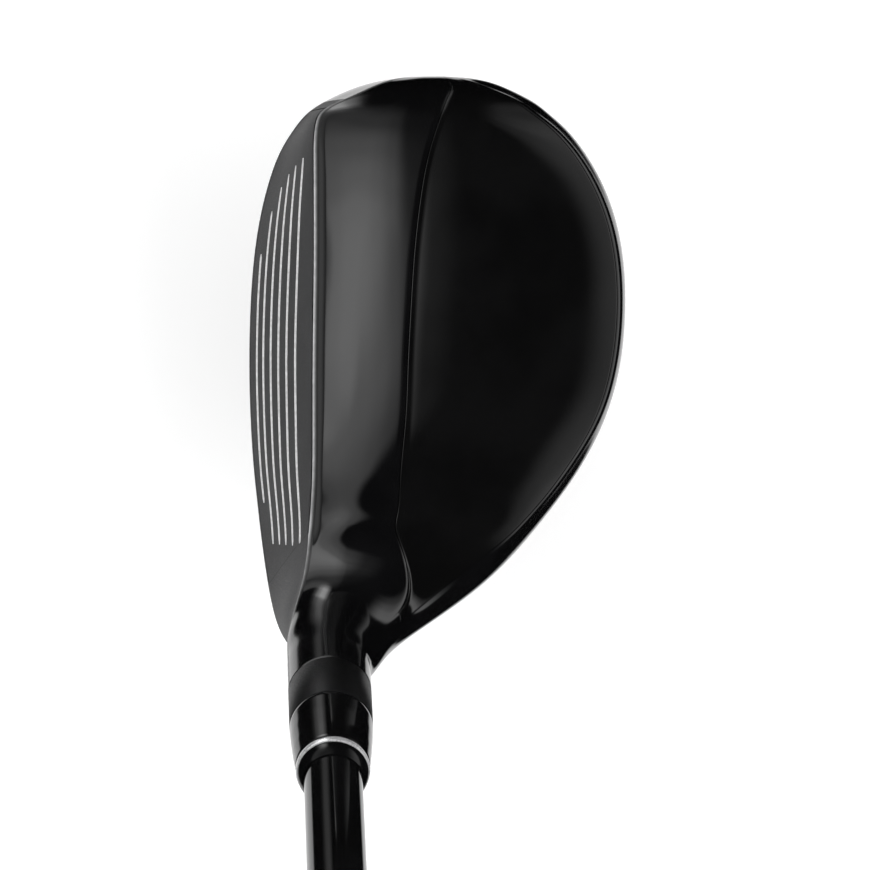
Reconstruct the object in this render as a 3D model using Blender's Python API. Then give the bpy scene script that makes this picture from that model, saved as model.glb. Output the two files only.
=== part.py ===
"""Hybrid golf club with a loft sleeve: hollow head, shaft assembly and grip.

Frame: +X heel to toe, +Y towards the face, +Z up, ground at z = 0. The club
stands at address, so the shaft axis leans over the heel at the lie angle.
Design lengths are in millimetres and MM turns them into metres.
"""

from math import cos, pi, radians, sin, tan

import bmesh
import bpy
import numpy as np
from mathutils import Matrix, Vector

MM = 0.001

# Club
LIE = radians(60.0)
CLUB_LENGTH = 1029.0
AXIS_X = -29.478  # where the shaft axis meets the ground
AXIS_Y = 17.78

# Head
TOE_X = 46.3
SPINE_Z = 16.7
NECK_TURN = 34.6
HOSEL_R = 6.8
HOSEL_TOP = 54.0
HANDLE = 0.35  # curve handle as a share of the chord
CORNER_R = {"leading": 1.1, "topline": 0.8, "crease": 0.8, "sole_rear": 2.5}

# Face plate and crown panel
SEAM = 0.15  # half of the gap round each let-in piece
FACE_T = 1.8
FACE_RECESS = 2.2
PANEL_T = 1.1
PANEL_RECESS = 1.4
LEDGE = 2.6
SCORE_Z = (7.05, 10.2, 13.7, 17.2, 20.8, 24.6)
SCORE_TOE = (17.5, 24.5, 28.3, 30.2, 31.4, 32.4)
SCORE_HEEL = (-24.2, -31.2, -31.4, -31.6, -31.8, -32.0)
SCORE_W = 0.95
SCORE_D = 0.45

# Sole weight, its screw and the slot behind the face
WEIGHT_X = 3.0
WEIGHT_Y = -13.5
WEIGHT_TILT = radians(10.0)
WEIGHT_R = 8.0
WEIGHT_T = 5.2
SCREW_HEAD_R = 3.8
SCREW_R = 2.0
SLOT_Y = 21.0
SLOT_W = 3.4
SLOT_HALF = 23.0

# Loft sleeve and its bolt, as distances along the shaft axis
BOLT_R = 2.45
BOLT_HEAD_R = 4.0
SEAT_S = 11.0
SOCKET_FLOOR_S = 22.0
SPLINE_TOP_S = 29.5
SLEEVE_BOTTOM_S = 24.6
SLEEVE_R = 5.6
COLLAR_S = (54.3, 65.5)
FERRULE_S = (65.8, 78.9)
RING_S = (79.1, 80.2)
NOSE_S = (80.4, 83.0)
SHAFT_FIT = 0.1

# Shaft and grip
SHAFT_S = (39.0, 1019.0)
GRIP_S = (757.0, 1025.7)
TAPE_S = (765.0, 1016.0)
GRIP_BUTT_R = 13.2
SIDES = 28

# Head sections. Each row holds the station (X for the upright ones, distance
# along the spine for those that lean into the neck), the (Y, height) of eight
# outline points, and the travel angle of the outline at them in degrees.
POINTS = ("sole", "leading", "topline", "crest", "step", "crease", "rear", "sole_rear")
UPRIGHT = (
    (46.3, (-0.4, 18.3), (1.8, 19.2), (1.4, 20.4), (0.3, 20.9), (-0.9, 21.0), (-2.2, 20.6),
     (-2.8, 19.6), (-2.2, 18.6), 45, 95, 125, 160, 176, 186, 205, 240, 270, 300, 335),
    (45.5, (0.5, 14.8), (10.0, 17.4), (7.3, 23.1), (2.6, 24.4), (-2.2, 24.3), (-5.8, 22.6),
     (-9.4, 19.2), (-7.2, 15.6), 55, 95, 128, 162, 176, 186, 202, 228, 270, 302, 338),
    (44.0, (1.0, 11.8), (14.6, 17.2), (10.8, 25.6), (4.6, 26.95), (-2.6, 26.9), (-9.6, 23.4),
     (-13.5, 18.2), (-11.0, 12.9), 60, 92, 122, 161, 175, 187, 203, 236, 270, 300, 338),
    (42.0, (1.5, 9.2), (18.5, 18.2), (14.9, 27.2), (6.8, 28.95), (-1.8, 28.8), (-14.1, 23.4),
     (-17.3, 17.6), (-14.8, 11.4), 62, 92, 117, 158, 173, 187, 206, 244, 270, 297, 338),
    (40.2, (1.8, 7.5), (21.2, 18.6), (18.3, 27.8), (8.4, 30.3), (-1.1, 30.1), (-16.8, 23.2),
     (-19.6, 17.3), (-16.9, 10.5), 62, 106, 112, 155, 172, 187, 208, 249, 270, 294, 338),
    (38.0, (1.9, 5.9), (23.3, 13.2), (19.6, 28.4), (9.7, 31.5), (-0.3, 31.3), (-19.7, 23.0),
     (-22.1, 16.9), (-19.2, 9.7), 48, 107, 111, 154, 171, 187, 210, 252, 270, 292, 338),
    (35.0, (1.9, 4.2), (25.3, 8.8), (19.95, 29.2), (10.6, 32.6), (0.7, 32.5), (-22.7, 22.7),
     (-24.65, 16.6), (-21.5, 9.0), 33, 107, 111, 153, 170, 187, 212, 254, 270, 292, 338),
    (30.0, (1.9, 2.4), (27.3, 5.0), (20.0, 30.2), (11.3, 33.8), (2.0, 33.9), (-26.2, 22.2),
     (-27.75, 16.3), (-24.4, 8.3), 21, 107, 111, 152, 170, 186, 215, 255, 270, 292, 338),
    (24.0, (1.8, 0.9), (28.8, 3.3), (20.0, 31.1), (11.9, 34.7), (3.0, 35.0), (-29.0, 21.6),
     (-30.2, 16.0), (-26.7, 7.8), 16, 107, 111, 152, 169, 185, 217, 256, 270, 292, 338),
    (16.0, (1.6, 0.0), (29.95, 2.6), (20.0, 31.7), (12.2, 35.3), (3.9, 35.8), (-30.9, 21.1),
     (-31.85, 15.8), (-28.2, 7.4), 14, 107, 111, 152, 169, 184, 218, 256, 270, 292, 338),
    (7.0, (1.5, -0.35), (30.5, 2.4), (20.1, 32.1), (12.4, 35.6), (4.5, 36.2), (-31.3, 20.8),
     (-32.15, 15.6), (-28.5, 7.2), 14, 107, 111, 152, 169, 184, 218, 256, 270, 292, 338),
    (-3.0, (1.5, -0.35), (30.6, 2.4), (20.2, 32.2), (12.6, 35.6), (5.0, 36.3), (-30.1, 20.9),
     (-31.0, 15.7), (-27.3, 7.3), 14, 107, 111, 152, 169, 184, 217, 256, 270, 292, 338),
    (-12.0, (2.0, -0.1), (30.3, 2.5), (20.35, 31.9), (12.8, 35.1), (5.4, 35.7), (-27.0, 21.5),
     (-28.1, 16.0), (-24.6, 7.6), 14, 107, 111, 152, 168, 184, 217, 256, 270, 292, 338),
    (-20.45, (3.4, 0.8), (29.65, 2.7), (20.6, 31.2), (13.2, 34.0), (6.1, 34.4), (-21.7, 22.4),
     (-23.4, 16.7), (-20.4, 8.2), 14, 107, 111, 151, 168, 185, 216, 258, 270, 292, 338),
)
LEANING = (
    (75.0, (5.8, 1.6), (28.5, 3.0), (21.0, 29.1), (14.0, 31.9), (6.45, 32.0), (-15.7, 22.9),
     (-17.2, 16.8), (-14.0, 8.6), 15, 107, 110, 152, 169, 188, 218, 260, 270, 295, 338),
    (84.0, (10.2, 3.5), (26.5, 5.2), (21.45, 26.9), (15.4, 29.3), (6.4, 28.9), (-8.1, 21.8),
     (-8.3, 16.0), (-4.2, 8.9), 19, 98, 107, 153, 173, 196, 226, 264, 276, 303, 336),
    (93.0, (15.2, 7.9), (23.9, 10.4), (22.8, 23.3), (16.7, 25.2), (4.4, 21.2), (2.4, 17.8),
     (3.0, 14.6), (8.2, 9.4), 33, 66, 104, 148, 186, 230, 250, 266, 282, 314, 331),
    (101.35, (17.2, 9.75), (22.2, 11.4), (24.4, 18.2), (17.6, 23.75), (9.0, 20.2), (7.8, 17.6),
     (8.0, 15.0), (11.7, 11.0), 39, 42, 97, 100, 176, 236, 256, 264, 285, 324, 326),
    (105.5, (17.6, 9.85), (22.15, 11.45), (24.5, 17.6), (17.8, 23.55), (10.7, 20.0), (9.6, 17.5),
     (9.7, 15.0), (13.1, 11.0), 40, 40, 97, 98, 177, 240, 259, 264, 285, 325, 325),
)
ROUND_AT = 110.0
ROUND_ANGLES = (-90, -50, 8, 88, 158, 174, 195, 235)


def clear_scene():
    for obj in list(bpy.data.objects):
        bpy.data.objects.remove(obj, do_unlink=True)


# ---------------------------------------------------------------- head shape


def spine_turn():
    """The part of the spine that bends from level up to the shaft axis."""
    steps = 800
    ds = NECK_TURN / steps
    mid = (np.arange(steps) + 0.5) / steps
    angle = LIE * (3 * mid**2 - 2 * mid**3)
    dx = np.concatenate([[0], np.cumsum(-np.cos(angle) * ds)])
    dz = np.concatenate([[0], np.cumsum(np.sin(angle) * ds)])
    start_x = AXIS_X - (SPINE_Z + dz[-1]) / tan(LIE) - dx[-1]
    return np.linspace(0, NECK_TURN, steps + 1), start_x + dx, SPINE_Z + dz


TURN_L, TURN_X, TURN_Z = spine_turn()
TURN_START = TOE_X - TURN_X[0]
TURN_END = TURN_START + NECK_TURN
HOSEL_END = TURN_END + HOSEL_TOP - TURN_Z[-1] / sin(LIE)


def spine_at(station):
    """X, Z and lean of the spine at a distance from the toe."""
    share = min(max((station - TURN_START) / NECK_TURN, 0), 1)
    lean = LIE * (3 * share**2 - 2 * share**3)
    if station < TURN_START:
        return TOE_X - station, SPINE_Z, lean
    beyond = max(station - TURN_END, 0)
    x = np.interp(station - TURN_START, TURN_L, TURN_X) - beyond * cos(LIE)
    z = np.interp(station - TURN_START, TURN_L, TURN_Z) + beyond * sin(LIE)
    return x, z, lean


def knot_rows():
    stations = [TOE_X - row[0] for row in UPRIGHT] + [row[0] for row in LEANING] + [ROUND_AT]
    rows = []
    for row in UPRIGHT + LEANING:
        rows.append([value for point in row[1:9] for value in point] + list(row[9:]))
    circle = []
    for angle in ROUND_ANGLES:
        circle.append(AXIS_Y + HOSEL_R * cos(radians(angle)))
        circle.append(SPINE_Z + HOSEL_R * sin(radians(angle)))
    way = [angle + 90 for angle in ROUND_ANGLES]
    circle += [way[1], way[1], way[2], way[2], way[3], way[4]]
    circle += [way[5], way[5], way[6], way[7], way[7]]
    rows.append(circle)
    return np.sqrt(np.array(stations)), np.array(rows, float)


def knot_slopes(at, rows):
    """Slopes of a smooth curve through the rows, level at the hosel."""
    count = len(at)
    h = np.diff(at)
    left = np.zeros((count, count))
    right = np.zeros((count, rows.shape[1]))
    left[0, 0] = 2
    left[0, 1] = 1
    right[0] = 3 * (rows[1] - rows[0]) / h[0]
    left[-1, -1] = 1
    for i in range(1, count - 1):
        left[i, i - 1] = 1 / h[i - 1]
        left[i, i] = 2 / h[i - 1] + 2 / h[i]
        left[i, i + 1] = 1 / h[i]
        before = (rows[i] - rows[i - 1]) / h[i - 1] ** 2
        after = (rows[i + 1] - rows[i]) / h[i] ** 2
        right[i] = 3 * (before + after)
    return np.linalg.solve(left, right)


KNOT_AT, KNOT_ROWS = knot_rows()
KNOT_SLOPES = knot_slopes(KNOT_AT, KNOT_ROWS)


def row_at(station):
    at = np.sqrt(min(max(station, 0.0), ROUND_AT))
    i = min(max(int(np.searchsorted(KNOT_AT, at)) - 1, 0), len(KNOT_AT) - 2)
    h = KNOT_AT[i + 1] - KNOT_AT[i]
    t = (at - KNOT_AT[i]) / h
    start = (2 * t**3 - 3 * t**2 + 1) * KNOT_ROWS[i]
    start = start + (t**3 - 2 * t**2 + t) * h * KNOT_SLOPES[i]
    end = (3 * t**2 - 2 * t**3) * KNOT_ROWS[i + 1]
    return start + end + (t**3 - t**2) * h * KNOT_SLOPES[i + 1]


class Outline:
    """The eight curves of one head section."""

    def __init__(self, row):
        points = row[:16].reshape(8, 2)
        sole, leading, topline, crest, step, crease, rear, sole_rear = points
        ways = row[16:]
        self.curves = {
            "sole_front": (sole, 0, leading, ways[0]),
            "face": (leading, ways[1], topline, ways[2]),
            "crown_front": (topline, ways[3], crest, ways[4]),
            "crown_top": (crest, ways[4], step, ways[5]),
            "crown_rear": (step, ways[5], crease, ways[6]),
            "skirt": (crease, ways[7], rear, ways[8]),
            "skirt_low": (rear, ways[8], sole_rear, ways[9]),
            "sole_back": (sole_rear, ways[10], sole, 360),
        }

    def length(self, name):
        start, _, end, _ = self.curves[name]
        return float(np.hypot(*(end - start)))

    def at(self, name, share):
        start, way_out, end, way_in = self.curves[name]
        reach = self.length(name) * HANDLE
        out = start + reach * np.array([cos(radians(way_out)), sin(radians(way_out))])
        back = end - reach * np.array([cos(radians(way_in)), sin(radians(way_in))])
        share = np.atleast_1d(share)[:, None]
        rest = 1 - share
        middle = 3 * rest**2 * share * out + 3 * rest * share**2 * back
        return rest**3 * start + middle + share**3 * end

    def share_of(self, name, distance):
        return distance / (3 * HANDLE * self.length(name))


ORDER = (
    ("sole_front", 5, None, "leading"),
    ("face", 4, "leading", "topline"),
    ("crown_front", 3, "topline", None),
    ("crown_top", 3, None, None),
    ("crown_rear", 7, None, "crease"),
    ("skirt", 2, "crease", None),
    ("skirt_low", 3, None, "sole_rear"),
    ("sole_back", 6, "sole_rear", None),
)


def section_loop(outline):
    """One closed section as (Y, height) points, with its corners rounded."""
    pieces = []
    for name, count, before, after in ORDER:
        first = min(outline.share_of(name, CORNER_R[before]), 0.3) if before else 0.0
        last = 1 - min(outline.share_of(name, CORNER_R[after]), 0.3) if after else 1.0
        pieces.append(outline.at(name, np.linspace(first, last, count + 1)))
    loop = []
    for i, (name, count, before, after) in enumerate(ORDER):
        points = pieces[i]
        loop += list(points if after else points[:-1])
        if after:
            corner = outline.curves[name][2]
            beyond = pieces[(i + 1) % len(pieces)][0]
            for share in (1 / 3, 2 / 3):
                rest = 1 - share
                bend = rest**2 * points[-1] + 2 * rest * share * corner + share**2 * beyond
                loop.append(bend)
    return np.array(loop)


def to_world(station, flat):
    """(Y, height) points of a station as XYZ, kept on or above the ground."""
    x, z, lean = spine_at(station)
    up = flat[:, 1] - SPINE_Z
    points = np.stack([x + up * sin(lean), flat[:, 0], z + up * cos(lean)], 1)
    points[:, 2] = np.maximum(points[:, 2], 0.0)
    return points


def outer_points(station, name, shares):
    return to_world(station, Outline(row_at(station)).at(name, shares))


def surface_patch(stations, name, share_ends, count, depths):
    """Grids of one named surface at two depths below it, along its normals."""
    eps = 0.05
    grids = [[], []]
    for station in stations:
        low, high = share_ends(station)
        shares = np.linspace(low, high, count)
        here = outer_points(station, name, shares)
        along = outer_points(station + eps, name, shares) - outer_points(station - eps, name, shares)
        across = outer_points(station, name, shares + 0.004)
        across = across - outer_points(station, name, shares - 0.004)
        normal = np.cross(along, across)
        normal /= np.linalg.norm(normal, axis=1)[:, None]
        for grid, depth in zip(grids, depths):
            grid.append(here - normal * depth)
    return np.array(grids[0]), np.array(grids[1])


# ---------------------------------------------------------------- mesh makers


def new_object(name, vertices, faces, smooth=True, place=None):
    mesh = bpy.data.meshes.new(name)
    mesh.from_pydata([tuple(float(c) * MM for c in v) for v in vertices], [], faces)
    bm = bmesh.new()
    bm.from_mesh(mesh)
    bmesh.ops.recalc_face_normals(bm, faces=bm.faces)
    bm.to_mesh(mesh)
    bm.free()
    if smooth:
        mesh.shade_smooth()
        mesh.set_sharp_from_angle(angle=radians(35))
    obj = bpy.data.objects.new(name, mesh)
    bpy.context.scene.collection.objects.link(obj)
    if place is not None:
        obj.matrix_world = place
    return obj


def loft(name, loops, smooth=True):
    """A closed solid through loops that all have the same number of points."""
    rows = len(loops)
    wide = len(loops[0])
    vertices = [point for loop in loops for point in loop]
    faces = []
    for i in range(rows - 1):
        for j in range(wide):
            k = (j + 1) % wide
            faces.append((i * wide + j, (i + 1) * wide + j, (i + 1) * wide + k, i * wide + k))
    faces.append(tuple(range(wide)))
    faces.append(tuple((rows - 1) * wide + j for j in reversed(range(wide))))
    return new_object(name, vertices, faces, smooth)


def slab(name, top, bottom, smooth=True):
    """A closed solid between two grids of points."""
    rows, wide = top.shape[:2]
    vertices = list(top.reshape(-1, 3)) + list(bottom.reshape(-1, 3))
    half = rows * wide
    faces = []
    for i in range(rows - 1):
        for j in range(wide - 1):
            a = i * wide + j
            b = a + wide
            faces.append((a, b, b + 1, a + 1))
            faces.append((half + a, half + a + 1, half + b + 1, half + b))
    edge = [j for j in range(wide)]
    edge += [i * wide + wide - 1 for i in range(1, rows)]
    edge += [(rows - 1) * wide + j for j in range(wide - 2, -1, -1)]
    edge += [i * wide for i in range(rows - 2, 0, -1)]
    for a, b in zip(edge, edge[1:] + edge[:1]):
        faces.append((a, b, half + b, half + a))
    return new_object(name, vertices, faces, smooth)


def turned(name, profile, place, sides=SIDES):
    """A solid of revolution: profile is (radius, distance along the axis)."""
    vertices = []
    rings = []
    for radius, along in profile:
        if radius == 0:
            rings.append([len(vertices)])
            vertices.append((0, 0, along))
            continue
        rings.append(list(range(len(vertices), len(vertices) + sides)))
        for k in range(sides):
            turn = 2 * pi * k / sides
            vertices.append((radius * cos(turn), radius * sin(turn), along))
    closed = profile[0][0] > 0
    faces = []
    pairs = list(zip(rings, rings[1:] + rings[:1]))
    for a, b in pairs if closed else pairs[:-1]:
        for k in range(sides):
            n = (k + 1) % sides
            corners = [a[k % len(a)], a[n % len(a)], b[n % len(b)], b[k % len(b)]]
            faces.append(tuple(dict.fromkeys(corners)))
    return new_object(name, vertices, faces, True, place)


def box(name, size, centre, place):
    sx, sy, sz = (c / 2 for c in size)
    cx, cy, cz = centre
    vertices = []
    for dx in (-sx, sx):
        for dy in (-sy, sy):
            for dz in (-sz, sz):
                vertices.append((cx + dx, cy + dy, cz + dz))
    faces = [(0, 1, 3, 2), (4, 6, 7, 5), (0, 4, 5, 1), (2, 3, 7, 6), (0, 2, 6, 4), (1, 5, 7, 3)]
    return new_object(name, vertices, faces, False, place)


def prism(name, radius, sides, start, end, place):
    return turned(name, [(0, start), (radius, start), (radius, end), (0, end)], place, sides)


def combine(obj, other, operation="DIFFERENCE"):
    other.hide_render = True
    other.display_type = "WIRE"
    modifier = obj.modifiers.new(f"{operation.lower()}_{other.name}", "BOOLEAN")
    modifier.operation = operation
    modifier.solver = "EXACT"
    modifier.object = other


def paint(obj, colour, metallic, roughness):
    material = bpy.data.materials.new(obj.name)
    material.use_nodes = True
    shader = material.node_tree.nodes["Principled BSDF"]
    shader.inputs["Base Color"].default_value = (*colour, 1)
    shader.inputs["Metallic"].default_value = metallic
    shader.inputs["Roughness"].default_value = roughness
    obj.data.materials.append(material)


def frame_along(origin, direction):
    """A matrix whose local +Z runs along the direction."""
    z = Vector(direction).normalized()
    x = Vector((0, 1, 0)).cross(z).normalized()
    y = z.cross(x)
    turn = Matrix((x, y, z)).transposed().to_4x4()
    return Matrix.Translation(Vector(origin) * MM) @ turn


SHAFT_AXIS = frame_along((AXIS_X, AXIS_Y, 0), (-cos(LIE), 0, sin(LIE)))
KEY_AXIS = SHAFT_AXIS @ Matrix.Rotation(radians(45), 4, "Z")


# ------------------------------------------------------------------ the head

STATIONS = (
    0, 0.3, 0.8, 1.5, 2.6, 4.3, 6.1, 7.2, 8.3, 9.8, 11.3, 13.6, 16.3, 22.3, 30.3, 36, 42, 49.3, 58.3,
    66.8, 71, 75, 79, 82, 85.5, 89, 92, 95, 98, 102, 106, 110, HOSEL_END,
)


def face_ends(lower, upper):
    def ends(station):
        outline = Outline(row_at(station))
        low = outline.share_of("face", lower)
        high = 1 - outline.share_of("face", upper)
        return low, max(high, low + 0.05)

    return ends


def panel_ends(front, back):
    def ends(station):
        outline = Outline(row_at(station))
        low = outline.share_of("crown_rear", front)
        high = 1 - outline.share_of("crown_rear", back)
        return low, max(high, low + 0.05)

    return ends


def span(first, last, shift=0.0):
    """The stations between two ends. Cutters shift them clear of the body's own."""
    inside = [station + shift for station in STATIONS]
    return [first] + [station for station in inside if first + 0.4 < station < last - 0.4] + [last]


def cavity_loop(station):
    """The inside of the shell: the same section drawn in by the wall."""
    row = row_at(station - 2.6 * max(1 - station / 50, 0)).copy()
    tall = min(Outline(row).length("face") / 20, 1.0)
    inset = ((0, 1.7), (-5.0 * tall, 2.9 * tall), (-2.9, -3.0 * tall), (-0.8, -1.3), (0.0, -2.2),
             (2.8, -2.8), (1.6, 0.0), (1.4, 1.6))
    row[:16] += np.array(inset).reshape(-1)
    return to_world(station, section_loop(Outline(row)))


def score_cutter(index):
    """A V-bottomed bar along one scoreline, following the face's bulge."""
    toe = SCORE_TOE[index]
    heel = SCORE_HEEL[index]
    loops = []
    for x in np.linspace(toe, heel, 11):
        outline = Outline(row_at(TOE_X - x)) if x > TURN_X[0] else None
        station = TOE_X - x
        if outline is None:
            station = TURN_START + (TURN_X[0] - x) * 0.9
        grid = outer_points(station, "face", np.linspace(0, 1, 60))
        y = np.interp(SCORE_Z[index], grid[:, 2], grid[:, 1])
        middle = np.array([grid[30, 0] if outline is None else x, y, SCORE_Z[index]])
        up = np.array([0, -0.3256, 0.9455])
        out = np.array([0, 0.9455, 0.3256])
        half = up * SCORE_W / 2
        loops.append([
            middle + out * 0.6 + half,
            middle + out * 0.6 - half,
            middle - half,
            middle - out * SCORE_D - half * 0.35,
            middle - out * SCORE_D + half * 0.35,
            middle + half,
        ])
    return loft(f"cut_score_{index}", np.array(loops), False)


def weight_frame():
    """The sole weight's axis: local +Z points into the head."""
    station = TOE_X - WEIGHT_X
    grid = outer_points(station, "sole_back", np.linspace(0, 1, 80))
    z = np.interp(WEIGHT_Y, grid[:, 1], grid[:, 2])
    return frame_along((WEIGHT_X, WEIGHT_Y, z), (0, sin(WEIGHT_TILT), cos(WEIGHT_TILT)))


WEIGHT_AXIS = weight_frame()


def make_head_body():
    body = loft("head_body", [to_world(s, section_loop(Outline(row_at(s)))) for s in STATIONS])
    patch = surface_patch(span(6.55, 80.2, 0.47), "face", face_ends(1.6 - SEAM, 0.75 - SEAM), 9,
                          (-1.5, FACE_RECESS))
    combine(body, slab("cut_face_recess", *patch, smooth=False))
    patch = surface_patch(span(2.75, 94.0, 0.41), "crown_rear", panel_ends(0.3 - SEAM, 0.9 - SEAM), 9,
                          (-1.5, PANEL_RECESS))
    combine(body, slab("cut_panel_recess", *patch, smooth=False))

    cavity = loft("cut_cavity", [cavity_loop(s) for s in span(4.2, 69.5)])
    patch = surface_patch(span(9.9, 61.3, 0.83), "face", face_ends(1.6 + LEDGE, 0.75 + LEDGE), 6,
                          (1.2, 7.0))
    combine(cavity, slab("join_face_window", *patch, smooth=False), "UNION")
    patch = surface_patch(span(9.7, 60.3, 0.77), "crown_rear", panel_ends(0.3 + LEDGE, 0.9 + LEDGE),
                          7, (0.7, 5.0))
    combine(cavity, slab("join_panel_window", *patch, smooth=False), "UNION")
    boss = turned("cut_boss", [(0, -3), (10.2, -3), (10.2, 8.6), (5.0, 8.6), (5.0, 11.0), (0, 11.0)],
                  WEIGHT_AXIS, 24)
    combine(cavity, boss)
    combine(body, cavity)

    bore = turned("cut_hosel_bore", [
        (0, -6), (4.5, -6), (4.5, SEAT_S), (2.75, SEAT_S), (2.75, SOCKET_FLOOR_S),
        (4.75, SOCKET_FLOOR_S), (4.75, SPLINE_TOP_S), (5.9, SPLINE_TOP_S), (5.9, 60), (0, 60),
    ], SHAFT_AXIS)
    combine(body, bore)
    for name, size in (("cut_key_a", (10.2, 2.6, 8.5)), ("cut_key_b", (2.6, 10.2, 8.5))):
        combine(body, box(name, size, (0, 0, SOCKET_FLOOR_S + 4.75), KEY_AXIS))

    port = turned("cut_weight_port", [
        (0, -4), (WEIGHT_R + 0.3, -4), (WEIGHT_R + 0.3, WEIGHT_T + 0.7), (SCREW_R + 0.25, WEIGHT_T + 0.7),
        (SCREW_R + 0.25, 10.0), (0, 10.0),
    ], WEIGHT_AXIS, 40)
    combine(body, port)
    combine(body, slot_bar("cut_slot", SLOT_HALF + 0.3, SLOT_W + 0.6, -3.0, 6.0))
    paint(body, (0.012, 0.012, 0.013), 0.3, 0.12)
    return body


def slot_bar(name, half, width, low, high):
    """A round-ended bar across the sole, high measured up from the ground."""
    outline = []
    for k in range(7):
        turn = -pi / 2 + pi * k / 6
        outline.append((half - width / 2 + width / 2 * cos(turn), width / 2 * sin(turn)))
    outline += [(-x, -y) for x, y in outline]
    loops = [[(x, SLOT_Y + y, z) for x, y in outline] for z in (low, high)]
    return loft(name, np.array(loops), False)


def make_slot_insert():
    insert = slot_bar("slot_insert", SLOT_HALF, SLOT_W, 1.25, 3.4)
    paint(insert, (0.05, 0.05, 0.055), 0.0, 0.6)
    return insert


def make_face_plate():
    patch = surface_patch(span(8.2, 79.4), "face", face_ends(1.6 + SEAM, 0.75 + SEAM), 7, (0.0, FACE_T))
    plate = slab("face_plate", *patch)
    for index in range(len(SCORE_Z)):
        combine(plate, score_cutter(index))
    paint(plate, (0.07, 0.07, 0.075), 0.6, 0.45)
    return plate


def make_crown_panel():
    patch = surface_patch(span(2.9, 93.7), "crown_rear", panel_ends(0.3 + SEAM, 0.9 + SEAM), 9,
                          (0.0, PANEL_T))
    panel = slab("crown_panel", *patch)
    paint(panel, (0.008, 0.008, 0.009), 0.0, 0.14)
    return panel


def make_sole_weight():
    weight = turned("sole_weight", [
        (SCREW_R + 0.3, WEIGHT_T + 0.4), (SCREW_R + 0.3, 3.6), (SCREW_HEAD_R + 0.3, 3.6),
        (SCREW_HEAD_R + 0.3, 0.5), (WEIGHT_R - 0.6, 0.5), (WEIGHT_R, 1.0), (WEIGHT_R, WEIGHT_T + 0.4),
    ], WEIGHT_AXIS, 40)
    paint(weight, (0.32, 0.32, 0.33), 1.0, 0.35)
    washer = turned("weight_washer", [
        (SCREW_R + 0.3, 3.3), (SCREW_R + 0.3, 2.9), (SCREW_HEAD_R - 0.2, 2.9), (SCREW_HEAD_R - 0.2, 3.3),
    ], WEIGHT_AXIS, 24)
    paint(washer, (0.45, 0.45, 0.46), 1.0, 0.3)
    screw = turned("weight_screw", [
        (0, 0.7), (SCREW_HEAD_R - 0.4, 0.7), (SCREW_HEAD_R, 1.1), (SCREW_HEAD_R, 2.6), (SCREW_R, 2.6),
        (SCREW_R, 9.3), (SCREW_R - 0.4, 9.7), (0, 9.7),
    ], WEIGHT_AXIS, 24)
    combine(screw, prism("cut_weight_drive", 1.9, 6, -1.0, 2.2, WEIGHT_AXIS))
    paint(screw, (0.5, 0.5, 0.51), 1.0, 0.28)


def make_inner_weight():
    """A pad bonded low in the toe end, a little clear of the shell."""
    grids = [[], []]
    for station in (14, 18, 22, 26, 30, 33):
        row = row_at(station - 2.6 * (1 - station / 50)).copy()
        row[0:2] += np.array((0, 2.7))
        row[14:16] += np.array((2.5, 2.8))
        outline = Outline(row)
        points = to_world(station, outline.at("sole_back", np.linspace(0.12, 0.52, 6)))
        grids[0].append(points)
        grids[1].append(points + np.array((0, 0.4, 3.4)))
    pad = slab("inner_weight", np.array(grids[0]), np.array(grids[1]), False)
    paint(pad, (0.3, 0.3, 0.29), 1.0, 0.5)


# ------------------------------------------------------- hosel bolt and sleeve


def make_hosel_bolt():
    bolt = turned("hosel_bolt", [
        (0, 5.4), (BOLT_HEAD_R - 0.5, 5.4), (BOLT_HEAD_R, 5.9), (BOLT_HEAD_R, 9.6), (BOLT_R, 9.6),
        (BOLT_R, 33.2), (BOLT_R - 0.6, 34.0), (0, 34.0),
    ], SHAFT_AXIS, 24)
    combine(bolt, prism("cut_bolt_drive", 2.1, 6, 3.0, 8.3, SHAFT_AXIS))
    paint(bolt, (0.5, 0.5, 0.51), 1.0, 0.28)
    washer = turned("bolt_washer", [(2.75, 9.85), (4.1, 9.85), (4.1, 10.75), (2.75, 10.75)],
                    SHAFT_AXIS, 24)
    paint(washer, (0.4, 0.4, 0.41), 1.0, 0.32)
    retainer = turned("bolt_retainer", [(2.6, 22.3), (4.4, 22.3), (4.4, 23.9), (2.6, 23.9)],
                      SHAFT_AXIS, 24)
    paint(retainer, (0.02, 0.02, 0.02), 0.0, 0.7)


def make_loft_sleeve():
    low, high = COLLAR_S
    sleeve = turned("loft_sleeve", [
        (2.75, SLEEVE_BOTTOM_S), (4.4, SLEEVE_BOTTOM_S), (4.4, SPLINE_TOP_S + 0.6), (SLEEVE_R, 31.0),
        (SLEEVE_R, low), (HOSEL_R - 0.25, low), (HOSEL_R, low + 0.25), (HOSEL_R, high - 0.25),
        (HOSEL_R - 0.25, high), (4.85, high), (4.85, 38.0), (2.75, 36.5),
    ], SHAFT_AXIS)
    for name, size in (("join_key_a", (9.6, 2.0, 4.6)), ("join_key_b", (2.0, 9.6, 4.6))):
        combine(sleeve, box(name, size, (0, 0, SLEEVE_BOTTOM_S + 2.4), KEY_AXIS), "UNION")
    hole = prism("cut_sleeve_thread", 2.75, SIDES, SLEEVE_BOTTOM_S - 2, 37.0, SHAFT_AXIS)
    combine(sleeve, hole)
    paint(sleeve, (0.03, 0.03, 0.032), 0.5, 0.5)


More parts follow.
